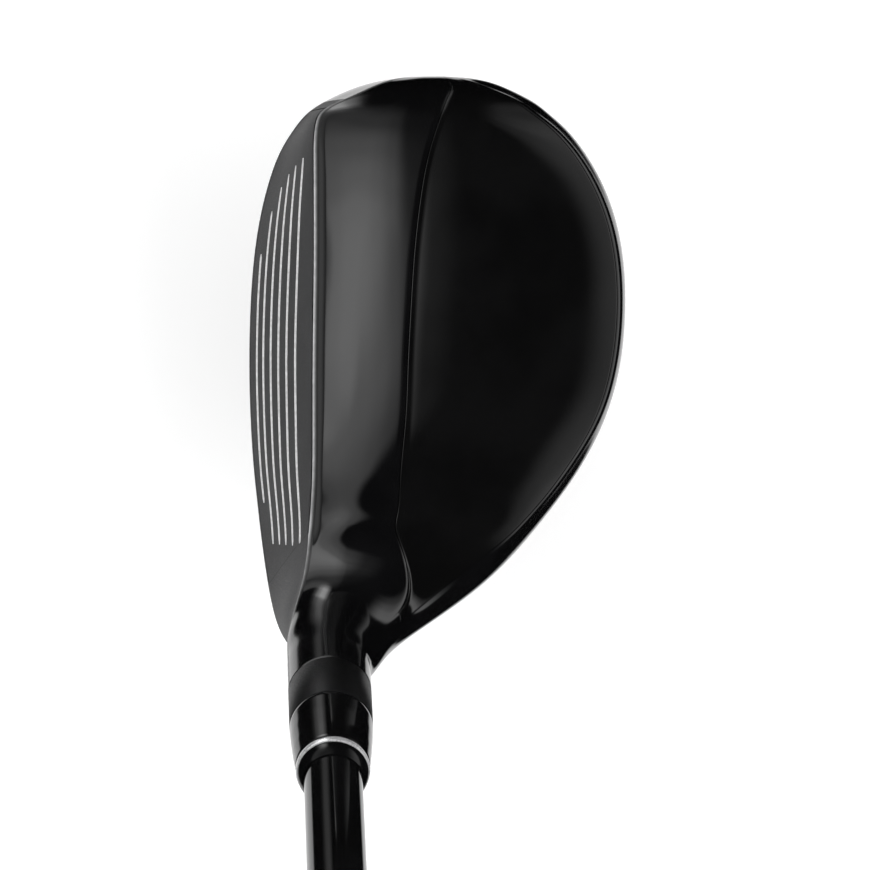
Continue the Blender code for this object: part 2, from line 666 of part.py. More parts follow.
def make_ferrule():
    low, high = FERRULE_S
    inner = shaft_radius(low) + SHAFT_FIT
    ferrule = turned("ferrule", [
        (inner, low), (HOSEL_R - 0.1, low), (HOSEL_R, low + 0.1), (6.62, low + 4.4), (6.35, low + 8.8),
        (6.02, high - 0.1), (5.95, high), (inner, high),
    ], SHAFT_AXIS)
    paint(ferrule, (0.01, 0.01, 0.011), 0.0, 0.12)
    low, high = RING_S
    ring = turned("trim_ring", [(inner, low), (5.98, low), (6.02, low + 0.1), (5.95, high - 0.1),
                                (5.9, high), (inner, high)], SHAFT_AXIS)
    paint(ring, (0.75, 0.75, 0.76), 1.0, 0.18)
    low, high = NOSE_S
    nose = turned("ferrule_nose", [
        (inner, low), (5.78, low), (5.8, low + 0.3), (5.62, low + 1.1), (5.35, low + 1.9),
        (5.02, high - 0.1), (4.98, high), (inner, high),
    ], SHAFT_AXIS)
    paint(nose, (0.01, 0.01, 0.011), 0.0, 0.14)


# ------------------------------------------------------------ shaft and grip

SHAFT_STEPS = ((39.0, 4.7), (120.0, 4.75), (250.0, 5.15), (500.0, 6.15), (757.0, 7.1), (1019.0, 7.6))


def shaft_radius(along):
    return float(np.interp(along, *zip(*SHAFT_STEPS)))


def make_shaft():
    bore = ((1019.0, 6.6), (500.0, 4.9), (120.0, 3.3), (39.0, 2.9))
    profile = [(r, s) for s, r in SHAFT_STEPS] + [(r, s) for s, r in bore]
    shaft = turned("shaft", profile, SHAFT_AXIS)
    paint(shaft, (0.009, 0.009, 0.01), 0.0, 0.1)
    plug = turned("tip_plug", [(0, 40.0), (2.6, 40.0), (2.7, 41.0), (2.8, 52.0), (2.5, 53.0), (0, 53.0)],
                  SHAFT_AXIS, 20)
    paint(plug, (0.5, 0.45, 0.35), 0.0, 0.8)


def make_grip():
    low, high = TAPE_S
    tape = turned("grip_tape", [
        (shaft_radius(low) + 0.1, low), (shaft_radius(low) + 0.4, low),
        (shaft_radius(high) + 0.4, high), (shaft_radius(high) + 0.1, high),
    ], SHAFT_AXIS)
    paint(tape, (0.7, 0.68, 0.6), 0.0, 0.8)
    low, high = GRIP_S
    fit = 0.5
    grip = turned("grip_sleeve", [
        (shaft_radius(low) + fit, low), (8.5, low), (9.0, low + 0.8), (9.3, low + 12), (10.2, low + 110),
        (11.6, low + 220), (12.6, low + 255), (GRIP_BUTT_R, high - 4), (GRIP_BUTT_R, high),
        (shaft_radius(high) + fit, high),
    ], SHAFT_AXIS)
    paint(grip, (0.02, 0.02, 0.021), 0.0, 0.75)
    low = high + 0.3
    cap = turned("grip_cap", [
        (1.0, low), (GRIP_BUTT_R, low), (GRIP_BUTT_R, CLUB_LENGTH - 1.3),
        (GRIP_BUTT_R - 1.3, CLUB_LENGTH), (1.0, CLUB_LENGTH),
    ], SHAFT_AXIS)
    paint(cap, (0.018, 0.018, 0.019), 0.0, 0.65)


clear_scene()
make_head_body()
make_face_plate()
make_crown_panel()
make_slot_insert()
make_sole_weight()
make_inner_weight()
make_hosel_bolt()
make_loft_sleeve()
make_ferrule()
make_shaft()
make_grip()
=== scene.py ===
"""Hybrid golf club: the fine surface model, its materials, light and camera.

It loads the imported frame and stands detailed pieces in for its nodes, in the
same place: +X heel to toe, +Y towards the face, +Z up, ground at z = 0.
Design lengths are in millimetres and MM turns them into metres.
"""

from itertools import product
from math import cos, pi, radians, sin, tan

import bmesh
import bpy
import numpy as np
from mathutils import Matrix, Vector
from numpy.linalg import norm


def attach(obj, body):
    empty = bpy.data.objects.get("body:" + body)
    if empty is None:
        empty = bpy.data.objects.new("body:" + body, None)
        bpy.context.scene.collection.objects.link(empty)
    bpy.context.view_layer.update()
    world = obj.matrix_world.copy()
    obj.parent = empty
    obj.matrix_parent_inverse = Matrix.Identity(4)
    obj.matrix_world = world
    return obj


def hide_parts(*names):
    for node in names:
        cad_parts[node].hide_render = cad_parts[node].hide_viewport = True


MM = 0.001

# Club and head, as in the frame
LIE = radians(60.0)
CLUB_LENGTH = 1029.0
AXIS_X = -29.478
AXIS_Y = 17.78
TOE_X = 46.3
SPINE_Z = 16.7
NECK_TURN = 34.6
HOSEL_R = 6.8
HOSEL_TOP = 54.0
HANDLE = 0.35
LEADING_R = 1.1
TOPLINE_R = 0.8
CREASE_R = 0.8
SOLE_REAR_R = 2.5

# Let-in pieces: how far their edges lie from the outline's corners
FACE_LOW = 1.45
FACE_HIGH = 0.35
FACE_GAP = 0.1
FACE_TOP_GAP = 0.62
TOPLINE_FACE_R = 0.3
FACE_HEEL_GAP = 0.04
FACE_DEPTH = 2.1
FACE_T = 1.8
FACE_STATIONS = (5.7, 80.3)
PANEL_FRONT = 0.12
PANEL_BACK = 0.8
PANEL_GAP = 0.12
PANEL_DEPTH = 1.4
PANEL_T = 1.1
PANEL_STATIONS = (1.6, 97.0)
BEVEL_ROWS = (43, 53)
FACE_ROWS = (24, 43)
MATTE = (4.0, 101.0)
SHOULDER_W = 1.0
SHOULDER_D = 0.2
EDGE_W = 0.14
EDGE_D = 0.16
ROLL_FLAT = 1.2
ROLL_END = 2.1
ROLL_SLOPE = 0.2
ROLL_FADE = (5, 14, 78, 88)
STEP_TOP = 0.1
STEP_W = 0.9
STEP_D = 0.24
STEP_BACK = 9.0
SEAM_FADE = (0, 3, 93, 99)
# Each scoreline's height and its toe and heel ends
SCORES = (
    (7.05, 17.5, -24.2), (10.2, 24.5, -31.2), (13.7, 28.3, -31.4),
    (17.2, 30.2, -31.6), (20.8, 31.4, -31.8), (24.6, 32.4, -32.0),
)
SCORE_W = 0.95
SCORE_D = 0.45

# Sole
WEIGHT_X = 3.0
WEIGHT_Y = -13.5
WEIGHT_TILT = radians(10.0)
WEIGHT_R = 8.0
WEIGHT_T = 5.2
SCREW_HEAD_R = 3.8
SCREW_R = 2.0
SLOT_Y = 21.0
SLOT_W = 3.4
SLOT_HALF = 23.0

# Hosel and shaft, as distances along the shaft axis
SEAT_S = 11.0
SOCKET_FLOOR_S = 22.0
SPLINE_TOP_S = 29.5
SLEEVE_BOTTOM_S = 24.6
SLEEVE_R = 5.6
COLLAR_S = (54.3, 65.5)
FERRULE_S = (65.8, 78.9)
RING_S = (79.1, 80.2)
NOSE_S = (80.4, 83.0)
SHAFT_STEPS = ((39, 4.7), (120, 4.75), (250, 5.15), (500, 6.15), (757, 7.1), (1019, 7.6))
GRIP_S = (757.0, 1025.7)
GRIP_BUTT_R = 13.2
GRIP_BANDS = 6
GRIP_GROOVES = 24
GRIP_PITCH = 6.4
GRIP_GROOVE_D = 0.32
RING_GROOVE_D = 0.35

# Camera
TARGET = np.array((-13.7, 0.0, 28.0))
CAMERA_BACK = np.array((-0.04225, 0.03392, 1.0))
CAMERA_D = 1500.0
LENS = 375.5

# Head sections. Each row holds the station (X for the upright ones, distance
# along the spine for those that lean into the neck), the (Y, height) of eight
# outline points, and the travel angle of the outline at them in degrees.
UPRIGHT = (
    (46.3, (-0.4, 18.3), (1.8, 19.2), (1.4, 20.4), (0.3, 20.9), (-0.9, 21), (-2.2, 20.6),
     (-2.8, 19.6), (-2.2, 18.6), 45, 95, 125, 160, 176, 186, 205, 240, 270, 300, 335),
    (45.5, (0.5, 14.8), (10, 17.4), (7.3, 23.1), (2.6, 24.4), (-2.2, 24.3), (-5.8, 22.6),
     (-9.4, 19.2), (-7.2, 15.6), 55, 95, 128, 162, 176, 186, 202, 228, 270, 302, 338),
    (44, (1, 11.8), (14.6, 17.2), (10.8, 25.6), (4.6, 26.95), (-2.6, 26.9), (-9.6, 23.4),
     (-13.5, 18.2), (-11, 12.9), 60, 92, 122, 161, 175, 187, 203, 236, 270, 300, 338),
    (42, (1.5, 9.2), (18.5, 18.2), (14.9, 27.2), (6.8, 28.95), (-1.8, 28.8), (-14.1, 23.4),
     (-17.3, 17.6), (-14.8, 11.4), 62, 92, 117, 158, 173, 187, 206, 244, 270, 297, 338),
    (40.2, (1.8, 7.5), (21.2, 18.6), (18.3, 27.8), (8.4, 30.3), (-1.1, 30.1), (-16.8, 23.2),
     (-19.6, 17.3), (-16.9, 10.5), 62, 106, 112, 155, 172, 187, 208, 249, 270, 294, 338),
    (38, (1.9, 5.9), (23.3, 13.2), (19.6, 28.4), (9.7, 31.5), (-0.3, 31.3), (-19.7, 23),
     (-22.1, 16.9), (-19.2, 9.7), 48, 107, 111, 154, 171, 187, 210, 252, 270, 292, 338),
    (35, (1.9, 4.2), (25.3, 8.8), (19.95, 29.2), (10.6, 32.6), (0.7, 32.5), (-22.7, 22.7),
     (-24.65, 16.6), (-21.5, 9), 33, 107, 111, 153, 170, 187, 212, 254, 270, 292, 338),
    (30, (1.9, 2.4), (27.3, 5), (20, 30.2), (11.3, 33.8), (2, 33.9), (-26.2, 22.2),
     (-27.75, 16.3), (-24.4, 8.3), 21, 107, 111, 152, 170, 186, 215, 255, 270, 292, 338),
    (24, (1.8, 0.9), (28.8, 3.3), (20, 31.1), (11.9, 34.7), (3, 35), (-29, 21.6),
     (-30.2, 16), (-26.7, 7.8), 16, 107, 111, 152, 169, 185, 217, 256, 270, 292, 338),
    (16, (1.6, 0), (29.95, 2.6), (20, 31.7), (12.2, 35.3), (3.9, 35.8), (-30.9, 21.1),
     (-31.85, 15.8), (-28.2, 7.4), 14, 107, 111, 152, 169, 184, 218, 256, 270, 292, 338),
    (7, (1.5, -0.35), (30.5, 2.4), (20.1, 32.1), (12.4, 35.6), (4.5, 36.2), (-31.3, 20.8),
     (-32.15, 15.6), (-28.5, 7.2), 14, 107, 111, 152, 169, 184, 218, 256, 270, 292, 338),
    (-3, (1.5, -0.35), (30.6, 2.4), (20.2, 32.2), (12.6, 35.6), (5, 36.3), (-30.1, 20.9),
     (-31, 15.7), (-27.3, 7.3), 14, 107, 111, 152, 169, 184, 217, 256, 270, 292, 338),
    (-12, (2, -0.1), (30.3, 2.5), (20.2, 31.95), (12.8, 35.1), (5.4, 35.7), (-27, 21.5),
     (-28.1, 16), (-24.6, 7.6), 14, 107, 111, 152, 168, 184, 217, 256, 270, 292, 338),
    (-20.45, (3.4, 0.8), (29.65, 2.7), (20.25, 31.35), (13.2, 33.88), (6.1, 34.15), (-21.7, 22.4),
     (-23.4, 16.7), (-20.4, 8.2), 14, 107, 111, 151, 168, 185, 216, 258, 270, 292, 338),
)
LEANING = (
    (75, (5.8, 1.6), (28.5, 3), (20.55, 29.35), (14, 32.22), (6.45, 32), (-15.7, 22.9),
     (-17.2, 16.8), (-14, 8.6), 15, 107, 110, 152, 169, 188, 218, 260, 270, 295, 338),
    (84, (10.2, 3.5), (26.5, 5.2), (21, 27.15), (14.6, 30.05), (6.4, 29.35), (-8.1, 21.8),
     (-8.3, 16), (-4.2, 8.9), 19, 98, 107, 153, 174, 196, 226, 264, 276, 303, 336),
    (93, (15.2, 7.9), (23.9, 10.4), (22.2, 23), (15, 25.5), (4.4, 21.9), (2.4, 17.8),
     (3, 14.6), (8.2, 9.4), 33, 66, 104, 148, 182, 230, 250, 266, 282, 314, 331),
    (101.35, (17.2, 9.75), (22.2, 11.4), (24.4, 18.2), (17.6, 23.75), (9, 20.2), (7.8, 17.6),
     (8, 15), (11.7, 11), 39, 42, 97, 100, 176, 236, 256, 264, 285, 324, 326),
    (105.5, (17.6, 9.85), (22.15, 11.45), (24.5, 17.6), (17.8, 23.55), (10.7, 20), (9.6, 17.5),
     (9.7, 15), (13.1, 11), 40, 40, 97, 98, 177, 240, 259, 264, 285, 325, 325),
)
ROUND_AT = 110.0
ROUND_ANGLES = (-90, -50, 8, 88, 158, 174, 195, 235)

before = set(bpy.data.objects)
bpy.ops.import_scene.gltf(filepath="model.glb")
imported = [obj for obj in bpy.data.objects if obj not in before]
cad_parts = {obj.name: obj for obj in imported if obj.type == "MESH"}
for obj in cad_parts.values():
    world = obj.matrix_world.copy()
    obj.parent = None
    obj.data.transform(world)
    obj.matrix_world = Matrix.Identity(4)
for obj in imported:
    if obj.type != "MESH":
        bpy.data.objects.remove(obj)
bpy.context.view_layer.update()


# ---- head shape


def spine_turn():
    """The part of the spine that bends from level up to the shaft axis."""
    steps = 800
    ds = NECK_TURN / steps
    mid = (np.arange(steps) + 0.5) / steps
    angle = LIE * (3 * mid**2 - 2 * mid**3)
    dx = np.r_[0, np.cumsum(-np.cos(angle) * ds)]
    dz = np.r_[0, np.cumsum(np.sin(angle) * ds)]
    start_x = AXIS_X - (SPINE_Z + dz[-1]) / tan(LIE) - dx[-1]
    return np.linspace(0, NECK_TURN, steps + 1), start_x + dx, SPINE_Z + dz


TURN_L, TURN_X, TURN_Z = spine_turn()
TURN_START = TOE_X - TURN_X[0]
TURN_END = TURN_START + NECK_TURN
HOSEL_END = TURN_END + HOSEL_TOP - TURN_Z[-1] / sin(LIE)


def spine_at(station):
    """X, Z and lean of the spine at a distance from the toe."""
    share = min(max((station - TURN_START) / NECK_TURN, 0), 1)
    lean = LIE * (3 * share**2 - 2 * share**3)
    if station < TURN_START:
        return TOE_X - station, SPINE_Z, lean
    beyond = max(station - TURN_END, 0)
    x = np.interp(station - TURN_START, TURN_L, TURN_X) - beyond * cos(LIE)
    z = np.interp(station - TURN_START, TURN_L, TURN_Z) + beyond * sin(LIE)
    return x, z, lean


def heading(way):
    return np.array([cos(radians(way)), sin(radians(way))])


def knot_rows():
    stations = [TOE_X - row[0] for row in UPRIGHT] + [row[0] for row in LEANING] + [ROUND_AT]
    rows = [[v for point in row[1:9] for v in point] + [*row[9:]] for row in UPRIGHT + LEANING]
    circle = [v for way in ROUND_ANGLES for v in (AXIS_Y, SPINE_Z) + HOSEL_R * heading(way)]
    rows.append(circle + [ROUND_ANGLES[i] + 90 for i in (1, 1, 2, 2, 3, 4, 5, 5, 6, 7, 7)])
    return np.sqrt(stations), np.array(rows, float)


def knot_slopes(at, rows):
    """Slopes of a smooth curve through the rows, level at the hosel."""
    count = len(at)
    h = np.diff(at)
    left = np.zeros((count, count))
    right = np.zeros((count, rows.shape[1]))
    left[0, :2] = 2, 1
    right[0] = 3 * (rows[1] - rows[0]) / h[0]
    left[-1, -1] = 1
    for i in range(1, count - 1):
        left[i, i - 1:i + 2] = 1 / h[i - 1], 2 / h[i - 1] + 2 / h[i], 1 / h[i]
        before = (rows[i] - rows[i - 1]) / h[i - 1] ** 2
        after = (rows[i + 1] - rows[i]) / h[i] ** 2
        right[i] = 3 * (before + after)
    return np.linalg.solve(left, right)


KNOT_AT, KNOT_ROWS = knot_rows()
KNOT_SLOPES = knot_slopes(KNOT_AT, KNOT_ROWS)


def row_at(station):
    at = np.sqrt(min(max(station, 0.0), ROUND_AT))
    i = min(max(int(np.searchsorted(KNOT_AT, at)) - 1, 0), len(KNOT_AT) - 2)
    h = KNOT_AT[i + 1] - KNOT_AT[i]
    t = (at - KNOT_AT[i]) / h
    start = (2 * t**3 - 3 * t**2 + 1) * KNOT_ROWS[i]
    start = start + (t**3 - 2 * t**2 + t) * h * KNOT_SLOPES[i]
    end = (3 * t**2 - 2 * t**3) * KNOT_ROWS[i + 1]
    return start + end + (t**3 - t**2) * h * KNOT_SLOPES[i + 1]


class Outline:
    """The eight curves of one head section."""

    def __init__(self, row):
        points = row[:16].reshape(8, 2)
        sole, leading, topline, crest, step, crease, rear, sole_rear = points
        ways = row[16:]
        self.curves = {
            "sole_front": (sole, 0, leading, ways[0]),
            "face": (leading, ways[1], topline, ways[2]),
            "crown_front": (topline, ways[3], crest, ways[4]),
            "crown_top": (crest, ways[4], step, ways[5]),
            "crown_rear": (step, ways[5], crease, ways[6]),
            "skirt": (crease, ways[7], rear, ways[8]),
            "skirt_low": (rear, ways[8], sole_rear, ways[9]),
            "sole_back": (sole_rear, ways[10], sole, 360),
        }

    def length(self, name):
        start, _, end, _ = self.curves[name]
        return float(np.hypot(*(end - start)))

    def at(self, name, share):
        start, way_out, end, way_in = self.curves[name]
        reach = self.length(name) * HANDLE
        out = start + reach * heading(way_out)
        back = end - reach * heading(way_in)
        share = np.atleast_1d(share)[:, None]
        rest = 1 - share
        middle = 3 * rest**2 * share * out + 3 * rest * share**2 * back
        return rest**3 * start + middle + share**3 * end

    def share_of(self, name, distance):
        return distance / (3 * HANDLE * self.length(name))


def to_world(station, flat):
    """(Y, height) points of a station as XYZ, kept on or above the ground."""
    x, z, lean = spine_at(station)
    up = flat[:, 1] - SPINE_Z
    points = np.stack([x + up * sin(lean), flat[:, 0], z + up * cos(lean)], 1)
    points[:, 2] = np.maximum(points[:, 2], 0.0)
    return points


def outer_points(station, name, shares):
    return to_world(station, Outline(row_at(station)).at(name, shares))


def strip(station, name, shares):
    """Points of one named surface across a station, with their normals."""
    eps = 0.05
    shares = np.atleast_1d(shares)
    here = outer_points(station, name, shares)
    along = outer_points(station + eps, name, shares)
    along = along - outer_points(max(station - eps, 0.0), name, shares)
    across = outer_points(station, name, shares + 0.004) - outer_points(station, name, shares - 0.004)
    normal = np.cross(along, across)
    return here, normal / norm(normal, axis=1)[:, None]


def between(count):
    """Evenly spread shares, without the ends."""
    return np.linspace(0, 1, count + 2)[1:-1]


def pulled(a, b, c, share):
    """The curve from a to c that b pulls towards itself."""
    share = share[:, None]
    rest = 1 - share
    return rest**2 * a + 2 * rest * share * b + share**2 * c


# ---- mesh makers


def add_object(name, data):
    obj = bpy.data.objects.new(name, data)
    bpy.context.scene.collection.objects.link(obj)
    return obj


def new_object(name, vertices, faces, smooth=35, place=None):
    """A mesh object from millimetre points, shaded smooth up to an angle."""
    mesh = bpy.data.meshes.new(name)
    mesh.from_pydata((np.asarray(vertices, float) * MM).tolist(), [], faces)
    bm = bmesh.new()
    bm.from_mesh(mesh)
    bmesh.ops.recalc_face_normals(bm, faces=bm.faces)
    bm.to_mesh(mesh)
    bm.free()
    if smooth:
        mesh.shade_smooth()
        mesh.set_sharp_from_angle(angle=radians(smooth))
    if place is not None:
        mesh.transform(place)
    return add_object(name, mesh)


def ring_faces(rows, wide):
    i, j = np.meshgrid(np.arange(rows - 1), np.arange(wide), indexing="ij")
    k = (j + 1) % wide
    quads = np.stack([i * wide + j, (i + 1) * wide + j, (i + 1) * wide + k, i * wide + k], -1)
    return quads.reshape(-1, 4).tolist()


def loft(name, loops, smooth=35):
    """A closed solid through loops that all have the same number of points."""
    loops = np.asarray(loops, float)
    rows, wide = loops.shape[:2]
    faces = ring_faces(rows, wide)
    faces.append(tuple(range(wide)))
    faces.append(tuple((rows - 1) * wide + j for j in reversed(range(wide))))
    return new_object(name, loops.reshape(-1, 3), faces, smooth)


def slab(name, top, bottom, smooth=35):
    """A closed solid between two grids of points."""
    rows, wide = top.shape[:2]
    half = rows * wide
    faces = []
    for i in range(rows - 1):
        for j in range(wide - 1):
            a = i * wide + j
            b = a + wide
            faces.append((a, b, b + 1, a + 1))
            faces.append((half + a, half + a + 1, half + b + 1, half + b))
    at = np.arange(half).reshape(rows, wide)
    edge = np.r_[at[0], at[1:, -1], at[-1, -2::-1], at[-2:0:-1, 0]].tolist()
    for a, b in zip(edge, edge[1:] + edge[:1]):
        faces.append((a, b, half + b, half + a))
    return new_object(name, np.concatenate([top.reshape(-1, 3), bottom.reshape(-1, 3)]), faces, smooth)


def frame_along(origin, direction):
    """A matrix whose local +Z runs along the direction."""
    z = Vector(direction).normalized()
    x = Vector((0, 1, 0)).cross(z).normalized()
    y = z.cross(x)
    turn = Matrix((x, y, z)).transposed().to_4x4()
    return Matrix.Translation(Vector(origin) * MM) @ turn


SHAFT_AXIS = frame_along((AXIS_X, AXIS_Y, 0), (-cos(LIE), 0, sin(LIE)))


def turned(name, profile, place=SHAFT_AXIS, sides=96, smooth=35, radius_at=None):
    """A solid of revolution: profile is (radius, distance along the axis)."""
    vertices = []
    rings = []
    for radius, along in profile:
        count = sides if radius else 1
        rings.append(range(len(vertices), len(vertices) + count))
        for k in range(count):
            turn = 2 * pi * k / sides
            r = radius + (radius_at(radius, along, turn) if radius_at else 0.0)
            vertices.append((r * cos(turn), r * sin(turn), along))
    closed = profile[0][0] > 0
    faces = []
    pairs = list(zip(rings, rings[1:] + rings[:1]))
    for a, b in pairs if closed else pairs[:-1]:
        for k in range(sides):
            n = (k + 1) % sides
            corners = [a[k % len(a)], a[n % len(a)], b[n % len(b)], b[k % len(b)]]
            faces.append(tuple(dict.fromkeys(corners)))
    return new_object(name, vertices, faces, smooth, place)


def rounded(profile, radius=0.2, steps=3):
    """A turned profile with each of its corners rounded a little."""
    points = np.array(profile, float)
    out = []
    for before, p, after in zip(np.roll(points, 1, 0), points, np.roll(points, -1, 0)):
        if p[0] == 0:
            out.append(p)
            continue
        a, b = [p + (q - p) / norm(q - p) * min(radius, 0.4 * norm(q - p)) for q in (before, after)]
        out += [*pulled(a, p, b, np.linspace(0, 1, steps + 1))]
    return out


def hexagon(radius, start, end, place=SHAFT_AXIS):
    """The cutter for a screw's drive socket."""
    profile = [(0, start), (radius, start), (radius, end), (0, end)]
    return turned("drive", profile, place, 6, 0)


def carve(obj, cutters, operation="DIFFERENCE", smooth=35, materials="INDEX"):
    """Cuts each cutter from the object, for good, and removes the cutter."""
    for cutter in cutters:
        modifier = obj.modifiers.new("cut", "BOOLEAN")
        modifier.operation = operation
        modifier.solver = "EXACT"
        modifier.material_mode = materials
        modifier.object = cutter
        graph = bpy.context.evaluated_depsgraph_get()
        mesh = bpy.data.meshes.new_from_object(obj.evaluated_get(graph))
        obj.modifiers.clear()
        obj.data = mesh
        bpy.data.objects.remove(cutter, do_unlink=True)
    obj.data.shade_smooth()
    obj.data.set_sharp_from_angle(angle=radians(smooth))


KEY_AXIS = SHAFT_AXIS @ Matrix.Rotation(radians(45), 4, "Z")


def crossed_keys(long, wide, tall, middle):
    """Two bars crossing on the shaft axis, between the sleeve and its socket."""
    faces = [(0, 1, 3, 2), (4, 6, 7, 5), (0, 4, 5, 1), (2, 3, 7, 6), (0, 2, 6, 4), (1, 5, 7, 3)]
    bars = []
    for size in ((long, wide, tall), (wide, long, tall)):
        corners = np.array(list(product((-0.5, 0.5), repeat=3))) * size + (0, 0, middle)
        bars.append(new_object("bar", corners, faces, 0, KEY_AXIS))
    return bars


def place(piece, body, node):
    """Puts a finished piece on its body, in the place of its node."""
    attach(piece, body)
    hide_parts(node)


# ---- materials


class Tree:
    """Short ways to add nodes to a material or a world."""

    def __init__(self, owner):
        owner.use_nodes = True
        self.nodes = owner.node_tree.nodes
        self.links = owner.node_tree.links

    def feed(self, socket, value):
        """Gives a socket a number or a colour, or links an output to it."""
        if isinstance(value, bpy.types.NodeSocket):
            self.links.new(value, socket)
        else:
            socket.default_value = (*value, 1) if isinstance(value, tuple) else value

    def node(self, kind, **inputs):
        node = self.nodes.new("ShaderNode" + kind)
        for key, value in inputs.items():
            self.feed(node.inputs[key.replace("_", " ")], value)
        return node

    def math(self, operation, *values):
        node = self.node("Math")
        node.operation = operation
        for socket, value in zip(node.inputs, values):
            self.feed(socket, value)
        return node.outputs[0]


class Shader(Tree):
    """One Principled material, built up from procedural layers."""

    def __init__(self, name, **sockets):
        self.material = bpy.data.materials.new(name)
        super().__init__(self.material)
        self.inputs = self.nodes["Principled BSDF"].inputs
        for key, value in sockets.items():
            self.feed(self.inputs[key.replace("_", " ")], value)
        self.coords = self.node("TexCoord").outputs["Object"]

    def noise(self, scale, detail=4.0, rough=0.55):
        node = self.node("TexNoise", Vector=self.coords, Scale=scale, Detail=detail, Roughness=rough)
        return node.outputs["Fac"]

    def cloud(self, scale, detail, low=0.3, high=0.7, *levels):
        """Soft noise, spread between two levels."""
        return self.spread(self.noise(scale, detail), low, high, *levels)

    def spread(self, value, low, high, to_low=0.0, to_high=1.0):
        """A smooth step from one level to another while the value rises."""
        node = self.node("MapRange", Value=value, From_Min=low, From_Max=high,
                         To_Min=to_low, To_Max=to_high)
        node.interpolation_type = "SMOOTHSTEP"
        return node.outputs["Result"]

    def mix(self, factor, a, b):
        """A colour mix. a and b are colours or colour outputs."""
        node = self.node("Mix")
        node.data_type = "RGBA"
        for index, value in ((0, factor), (6, a), (7, b)):
            self.feed(node.inputs[index], value)
        return node.outputs[2]

    def bump(self, height, distance):
        """Relief, distance in metres."""
        node = self.node("Bump", Strength=1.0, Distance=distance, Height=height)
        self.feed(self.inputs["Normal"], node.outputs["Normal"])

    def worn_edges(self):
        """How much an outer edge is rubbed, from 0 to 1."""
        edge = self.spread(self.node("NewGeometry").outputs["Pointiness"], 0.53, 0.6)
        return self.math("MULTIPLY", edge, self.cloud(900, 3, 0.35, 0.6))

    def colour(self, factor, a, b):
        self.feed(self.inputs["Base Color"], self.mix(factor, a, b))

    def roughness(self, output):
        self.feed(self.inputs["Roughness"], output)


def gloss_black(name, tone, rough, ior=1.5, peel=1.0):
    """Sprayed gloss black: faint mottle, orange peel and dust."""
    s = Shader(name, IOR=ior)
    cloud = s.cloud(60, 3, 0.35, 0.65)
    s.colour(cloud, tuple(c * 0.8 for c in tone), tuple(c * 1.25 for c in tone))
    dust = s.cloud(2600, 2, 0.62, 0.78)
    s.roughness(s.math("ADD", s.cloud(35, 3, 0.3, 0.7, rough * 0.8, rough * 1.2),
                       s.math("MULTIPLY", dust, 0.05)))
    s.bump(s.noise(700, 2), 0.0000015 * peel)
    return s


def make_materials():
    m = {}
    m["body"] = gloss_black("body_paint", (0.0035, 0.0035, 0.0038), 0.1)
    m["panel"] = gloss_black("panel_lacquer", (0.0035, 0.0035, 0.0036), 0.09)

    # The faced front: blasted dark steel
    s = Shader("face_blast", Metallic=0.35)
    grain = s.noise(5200, 3, 0.7)
    cloud = s.noise(90, 4)
    s.colour(s.spread(cloud, 0.3, 0.7), (0.044, 0.044, 0.046), (0.058, 0.058, 0.06))
    s.roughness(s.spread(grain, 0.3, 0.7, 0.42, 0.6))
    s.bump(grain, 0.00001)
    m["face"] = s

    # The milled steel bevel along the topline, with a painted highlight in its colour: light grey at the
    # face side, fading to near black at the crown side
    s = Shader("bevel_steel", Metallic=0.25)
    attribute = s.node("Attribute")
    attribute.attribute_name = "bevel_highlight"
    across = attribute.outputs["Fac"]
    mottle = s.cloud(800, 3, 0.3, 0.7, 0.85, 1.1)
    # Painted highlight: the ramp across the bevel turns light grey at the face into near black at the
    # crown
    tone = s.mix(s.spread(across, 0.1, 0.85), (0.38, 0.38, 0.385), (0.01, 0.01, 0.01))
    s.colour(s.math("SUBTRACT", 1.1, mottle), tone, (0.0, 0.0, 0.0))
    s.roughness(s.cloud(1500, 3, 0.3, 0.7, 0.3, 0.42))
    s.bump(s.noise(3000, 2), 0.000002)
    m["bevel_highlight"] = s

    s = Shader("score_fill", Roughness=0.45)
    s.colour(s.cloud(1500, 3, 0.35, 0.7), (0.78, 0.78, 0.78), (0.6, 0.6, 0.6))
    s.bump(s.noise(4000, 2), 0.000008)
    m["score"] = s
    return m


def metal(name, tone, rough, turned_marks=0.0, wear=0.15, metallic=1.0):
    """Machined or turned metal with fine marks and rubbed edges."""
    s = Shader(name, Metallic=metallic, IOR=1.45)
    marks = s.noise(900, 3, 0.6)
    dark = tuple(c * 0.72 for c in tone)
    bright = tuple(min(c * 1.35 + wear, 0.95) for c in tone)
    base = s.mix(s.cloud(220, 4), dark, tone)
    s.colour(s.worn_edges(), base, bright)
    s.roughness(s.spread(marks, 0.3, 0.7, rough * 0.75, rough * 1.25))
    s.bump(s.noise(2600, 3), 0.000004 + 0.00001 * turned_marks)
    return s


def rubber(name, tone, rough=0.75, grain=0.00002):
    s = Shader(name, IOR=1.45)
    fine = s.noise(2400, 4, 0.65)
    cloud = s.cloud(120, 4)
    s.colour(cloud, tuple(c * 0.75 for c in tone), tuple(c * 1.3 for c in tone))
    s.roughness(s.spread(fine, 0.3, 0.7, rough * 0.88, min(rough * 1.12, 1.0)))
    s.bump(fine, grain)
    return s


def finish_with(obj, *shaders):
    obj.data.materials.clear()
    for shader in shaders:
        obj.data.materials.append(shader.material)


def fit(piece, body, node, shader):
    """Finishes a piece with one material and places it."""
    finish_with(piece, shader)
    place(piece, body, node)


ROOT = "shaft_assembly"
MATERIALS = make_materials()
STACK_BLACK = (0.004, 0.004, 0.0042)


# ---- the head


